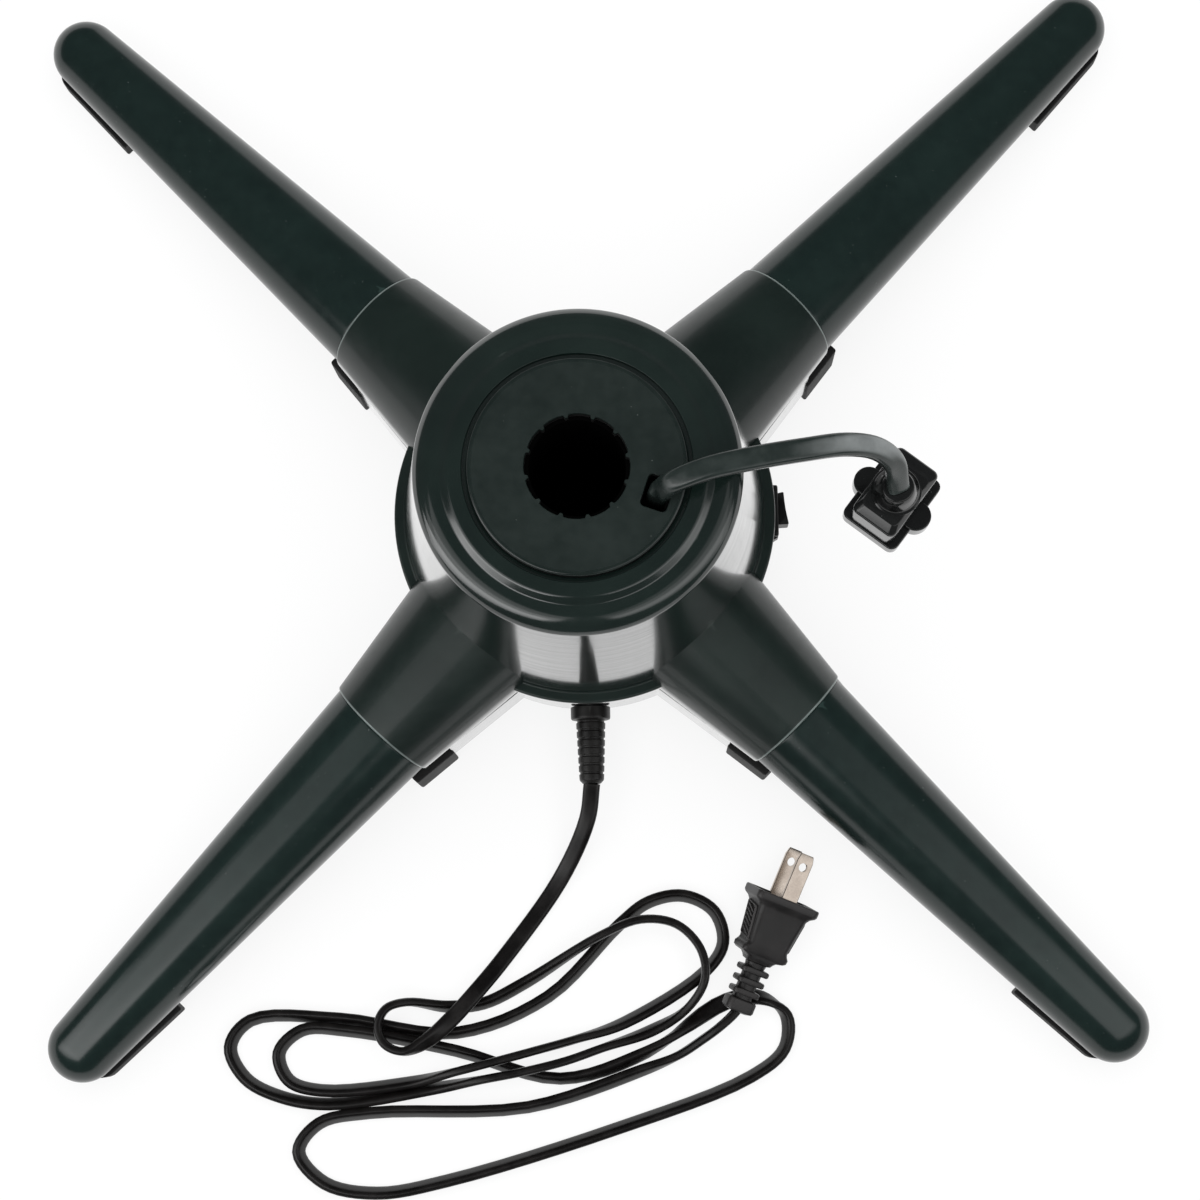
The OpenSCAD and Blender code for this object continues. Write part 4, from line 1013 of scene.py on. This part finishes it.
# Each: name, kind, darker and paler colour, roughness where the kind takes one, what else differs
FINISHES = (
    ("hub_plastic", turned, (0.0032, 0.0082, 0.0068), (0.0065, 0.0135, 0.0112), 0.15, {}),
    ("leg_plastic", moulded, (0.0040, 0.0100, 0.0090), (0.0072, 0.0162, 0.0142), 0.2, {}),
    ("disc_plastic", disc_face, (0.0054, 0.0098, 0.0086), (0.0108, 0.0166, 0.0148), 0.4, {}),
    # Near-black and nearly without gloss: painted shade for what is seen down the pole hole and the
    # slot
    ("black_painted_shade", moulded, (0.0006, 0.0006, 0.0006), (0.0014, 0.0014, 0.0014), 0.7,
     {"speck": False, "wear": 0, "shine": 0.02}),
    ("foot_rubber", rubbery, (0.003, 0.003, 0.003), (0.007, 0.007, 0.007), 0.6, {"shine": 0.15}),
    ("black_plastic", moulded, (0.003, 0.0032, 0.0032), (0.006, 0.0064, 0.0064), 0.35,
     {"shine": 0.3}),
    ("rocker_plastic", moulded, (0.002, 0.002, 0.002), (0.004, 0.004, 0.004), 0.35,
     {"shine": 0.15}),
    ("boot_rubber", rubbery, (0.004, 0.0036, 0.0034), (0.009, 0.0085, 0.008), 0.42, {}),
    ("lead_vinyl", rubbery, (0.0022, 0.0018, 0.0017), (0.006, 0.0052, 0.005), 0.34,
     {"grain": 1.6, "shine": 0.36}),
    ("plug_vinyl", rubbery, (0.005, 0.0045, 0.0045), (0.011, 0.010, 0.010), 0.4, {}),
    # The outlet cord gets a painted highlight, a pale sheen in the colour, on the outer side of its
    # bend
    ("outlet_vinyl", rubbery, (0.012, 0.0175, 0.016), (0.021, 0.028, 0.026), 0.2,
     {"grain": 1.4, "painted_highlight_way": (0.71, 0.1, 0.69)}),
    ("tap_plastic", moulded, (0.004, 0.0042, 0.0042), (0.008, 0.0085, 0.0085), 0.13, {"wear": 0.8}),
    ("blade_metal", metal, (0.41, 0.35, 0.30), (0.57, 0.495, 0.43), 0.24, {"brushed": (1, 1, 0.1)}),
    ("contact_brass", metal, (0.60, 0.42, 0.16), (0.78, 0.60, 0.28), 0.3, {}),
    ("plated_screw", metal, (0.42, 0.42, 0.41), (0.64, 0.64, 0.62), 0.3, {}),
    ("spring_steel", metal, (0.22, 0.22, 0.23), (0.40, 0.40, 0.42), 0.3, {}),
    ("bearing_steel", metal, (0.48, 0.49, 0.50), (0.66, 0.67, 0.68), 0.16, {}),
    ("motor_steel", metal, (0.44, 0.45, 0.45), (0.62, 0.63, 0.63), 0.32, {}),
    ("gear_plastic", moulded, (0.60, 0.57, 0.48), (0.74, 0.71, 0.61), 0.4, {"speck": False}),
    ("insulating_board", laminate, (0.09, 0.045, 0.022), (0.17, 0.09, 0.05), {}),
    ("carbon", rubbery, (0.02, 0.02, 0.021), (0.05, 0.05, 0.052), 0.5, {"grain": 0.5}))
MATERIALS = {name: make(name, *basics, **extras) for name, make, *basics, extras in FINISHES}
# The pole tube and cord grip are painted near-black as shade, in place of the shadow down the pole
# hole and the slot
PAINTED_SHADE_NODES = ("pole_tube", "cord_grip")  # seen only down the pole hole and the slot


def dress_cad_nodes():
    """Every CAD node gets the material of its own slot, apart from those painted near-black as
    shade.
    """
    slots = {s["node"]: s["material_slot"] for s in frame["record"]["subparts"]}
    for name, node in frame["nodes"].items():
        finish = "black_painted_shade" if name in PAINTED_SHADE_NODES else slots[name]
        for entry in node.material_slots:
            entry.material = MATERIALS[finish]


def dress_new_pieces():
    for piece, finish in NEW_PIECES:
        piece.data.materials.clear()
        piece.data.materials.append(MATERIALS[finish])


dress_cad_nodes()
dress_new_pieces()


# ---- light and floor ----

def area_light(name, place, size, power):
    """Rectangular lamp that faces down, hidden from the camera."""
    data = bpy.data.lights.new(name, "AREA")
    data.shape = "RECTANGLE"
    data.size, data.size_y = size
    data.energy = power
    lamp = bpy.data.objects.new(name, data)
    bpy.context.scene.collection.objects.link(lamp)
    lamp.location = place
    lamp.visible_camera = False
    return lamp


FLOOR_REACH = 6  # metres from the middle to each side
SEEN_WHITE, MIRRORED_WHITE, THROUGH_WHITE = 0.84, 0.92, 0.9  # shares of plain white in the floor


def make_floor():
    """Pale paper floor; the camera and reflections see it nearly white, its shadows stay."""
    r = FLOOR_REACH
    points = [(-r, -r, 0), (r, -r, 0), (r, r, 0), (-r, r, 0)]
    floor = bpy.data.objects.new("floor", from_lists("floor", points, [(0, 1, 2, 3)], False))
    bpy.context.scene.collection.objects.link(floor)
    net = Net("floor")
    colour = net.mix(net.noise(400, 2, 0.5), (0.88, 0.88, 0.88), (0.92, 0.92, 0.92))
    material = net.finish(Base_Color=colour, Roughness=0.9, IOR=1.2)
    seen, mirrored, through = (net.value("ShaderNodeLightPath", output="Is %s Ray" % kind)
                               for kind in ("Camera", "Glossy", "Transmission"))
    share = seen * SEEN_WHITE + mirrored * MIRRORED_WHITE + through * THROUGH_WHITE
    white = net.node("ShaderNodeEmission", None, {"Color": (1, 1, 1, 1), "Strength": 1.0})
    both = net.node("ShaderNodeMixShader", None, {0: share.clamp()})
    net.tree.links.new(net.shader.outputs[0], both.inputs[1])
    net.tree.links.new(white.outputs[0], both.inputs[2])
    net.tree.links.new(both.outputs[0], net.output.inputs[0])
    floor.data.materials.append(material)


ROOM_COLOUR, ROOM_LEVEL = (0.93, 0.97, 1, 1), 0.12


def make_world():
    """White to the camera, a dim room to everything else."""
    world = bpy.data.worlds.new("world")
    bpy.context.scene.world = world
    world.use_nodes = True
    tree = world.node_tree
    tree.nodes.clear()
    room, white = (tree.nodes.new("ShaderNodeBackground") for _ in range(2))
    for node, colour, level in ((room, ROOM_COLOUR, ROOM_LEVEL), (white, (1, 1, 1, 1), 1.0)):
        node.inputs["Color"].default_value, node.inputs["Strength"].default_value = colour, level
    path = tree.nodes.new("ShaderNodeLightPath")
    choice = tree.nodes.new("ShaderNodeMixShader")
    out = tree.nodes.new("ShaderNodeOutputWorld")
    tree.links.new(path.outputs["Is Camera Ray"], choice.inputs[0])
    tree.links.new(room.outputs[0], choice.inputs[1])
    tree.links.new(white.outputs[0], choice.inputs[2])
    tree.links.new(choice.outputs[0], out.inputs[0])


make_floor()
make_world()
# It lights surfaces but isn't mirrored in them
area_light("ceiling", place=(0, 0, 2.6), size=(5, 5), power=170).visible_glossy = False

# Long slanted panels close by on both sides, brighter in front, that only show as gloss.
# Each leans with its side's line from foot to top, (x, z), and rises towards the front.
# Each: name, side, back end as (y, metres up the line), length, depth, radiance.
PANEL_LINE = {-1: ((0.62, 0.1), (0.17, 0.90)), 1: ((0.62, 0.1), (0.344, 0.594))}
PANELS = (
    ("left_wide", -1, (0.04, 0.46), 0.95, 0.36, 0.6),
    ("left_mid", -1, (-0.01, 0.29), 1.0, 0.25, 0.75),
    ("left_front", -1, (-0.04, 0.16), 0.95, 0.2, 2.0),
    ("right_wide", 1, (0.06, 0.44), 1.0, 0.36, 0.3),
    ("right_mid", 1, (0.02, 0.31), 1.0, 0.25, 0.35),
    ("right_front", 1, (-0.03, 0.20), 1.0, 0.2, 0.75))
PANEL_STEP = 0.008  # each stands this much nearer than the last, so that they add up


def side_panel(name, side, start, length, depth, radiance, nearer):
    """Leaning panel that faces the stand from one side, its long edge rising at 45 degrees."""
    foot, top = (Vector((side * x, 0, z)) for x, z in PANEL_LINE[side])
    rise, front = (top - foot).normalized(), Vector((0, -1, 0))
    along, inward = (front + rise).normalized(), (front - rise).normalized()
    facing = along.cross(inward)
    facing *= 1 if facing.x * side < 0 else -1
    middle = foot - front * start[0] + rise * start[1] + along * length / 2 + inward * depth / 2
    power = radiance * math.pi * length * depth
    lamp = area_light(name, tuple(middle + facing * nearer), (length, depth), power)
    lamp.rotation_euler = Matrix((along, -facing.cross(along), -facing)).transposed().to_euler()
    lamp.visible_diffuse = False


for order, panel in enumerate(PANELS):
    side_panel(*panel, nearer=PANEL_STEP * (order % (len(PANELS) // 2)))

bpy.context.view_layer.update()
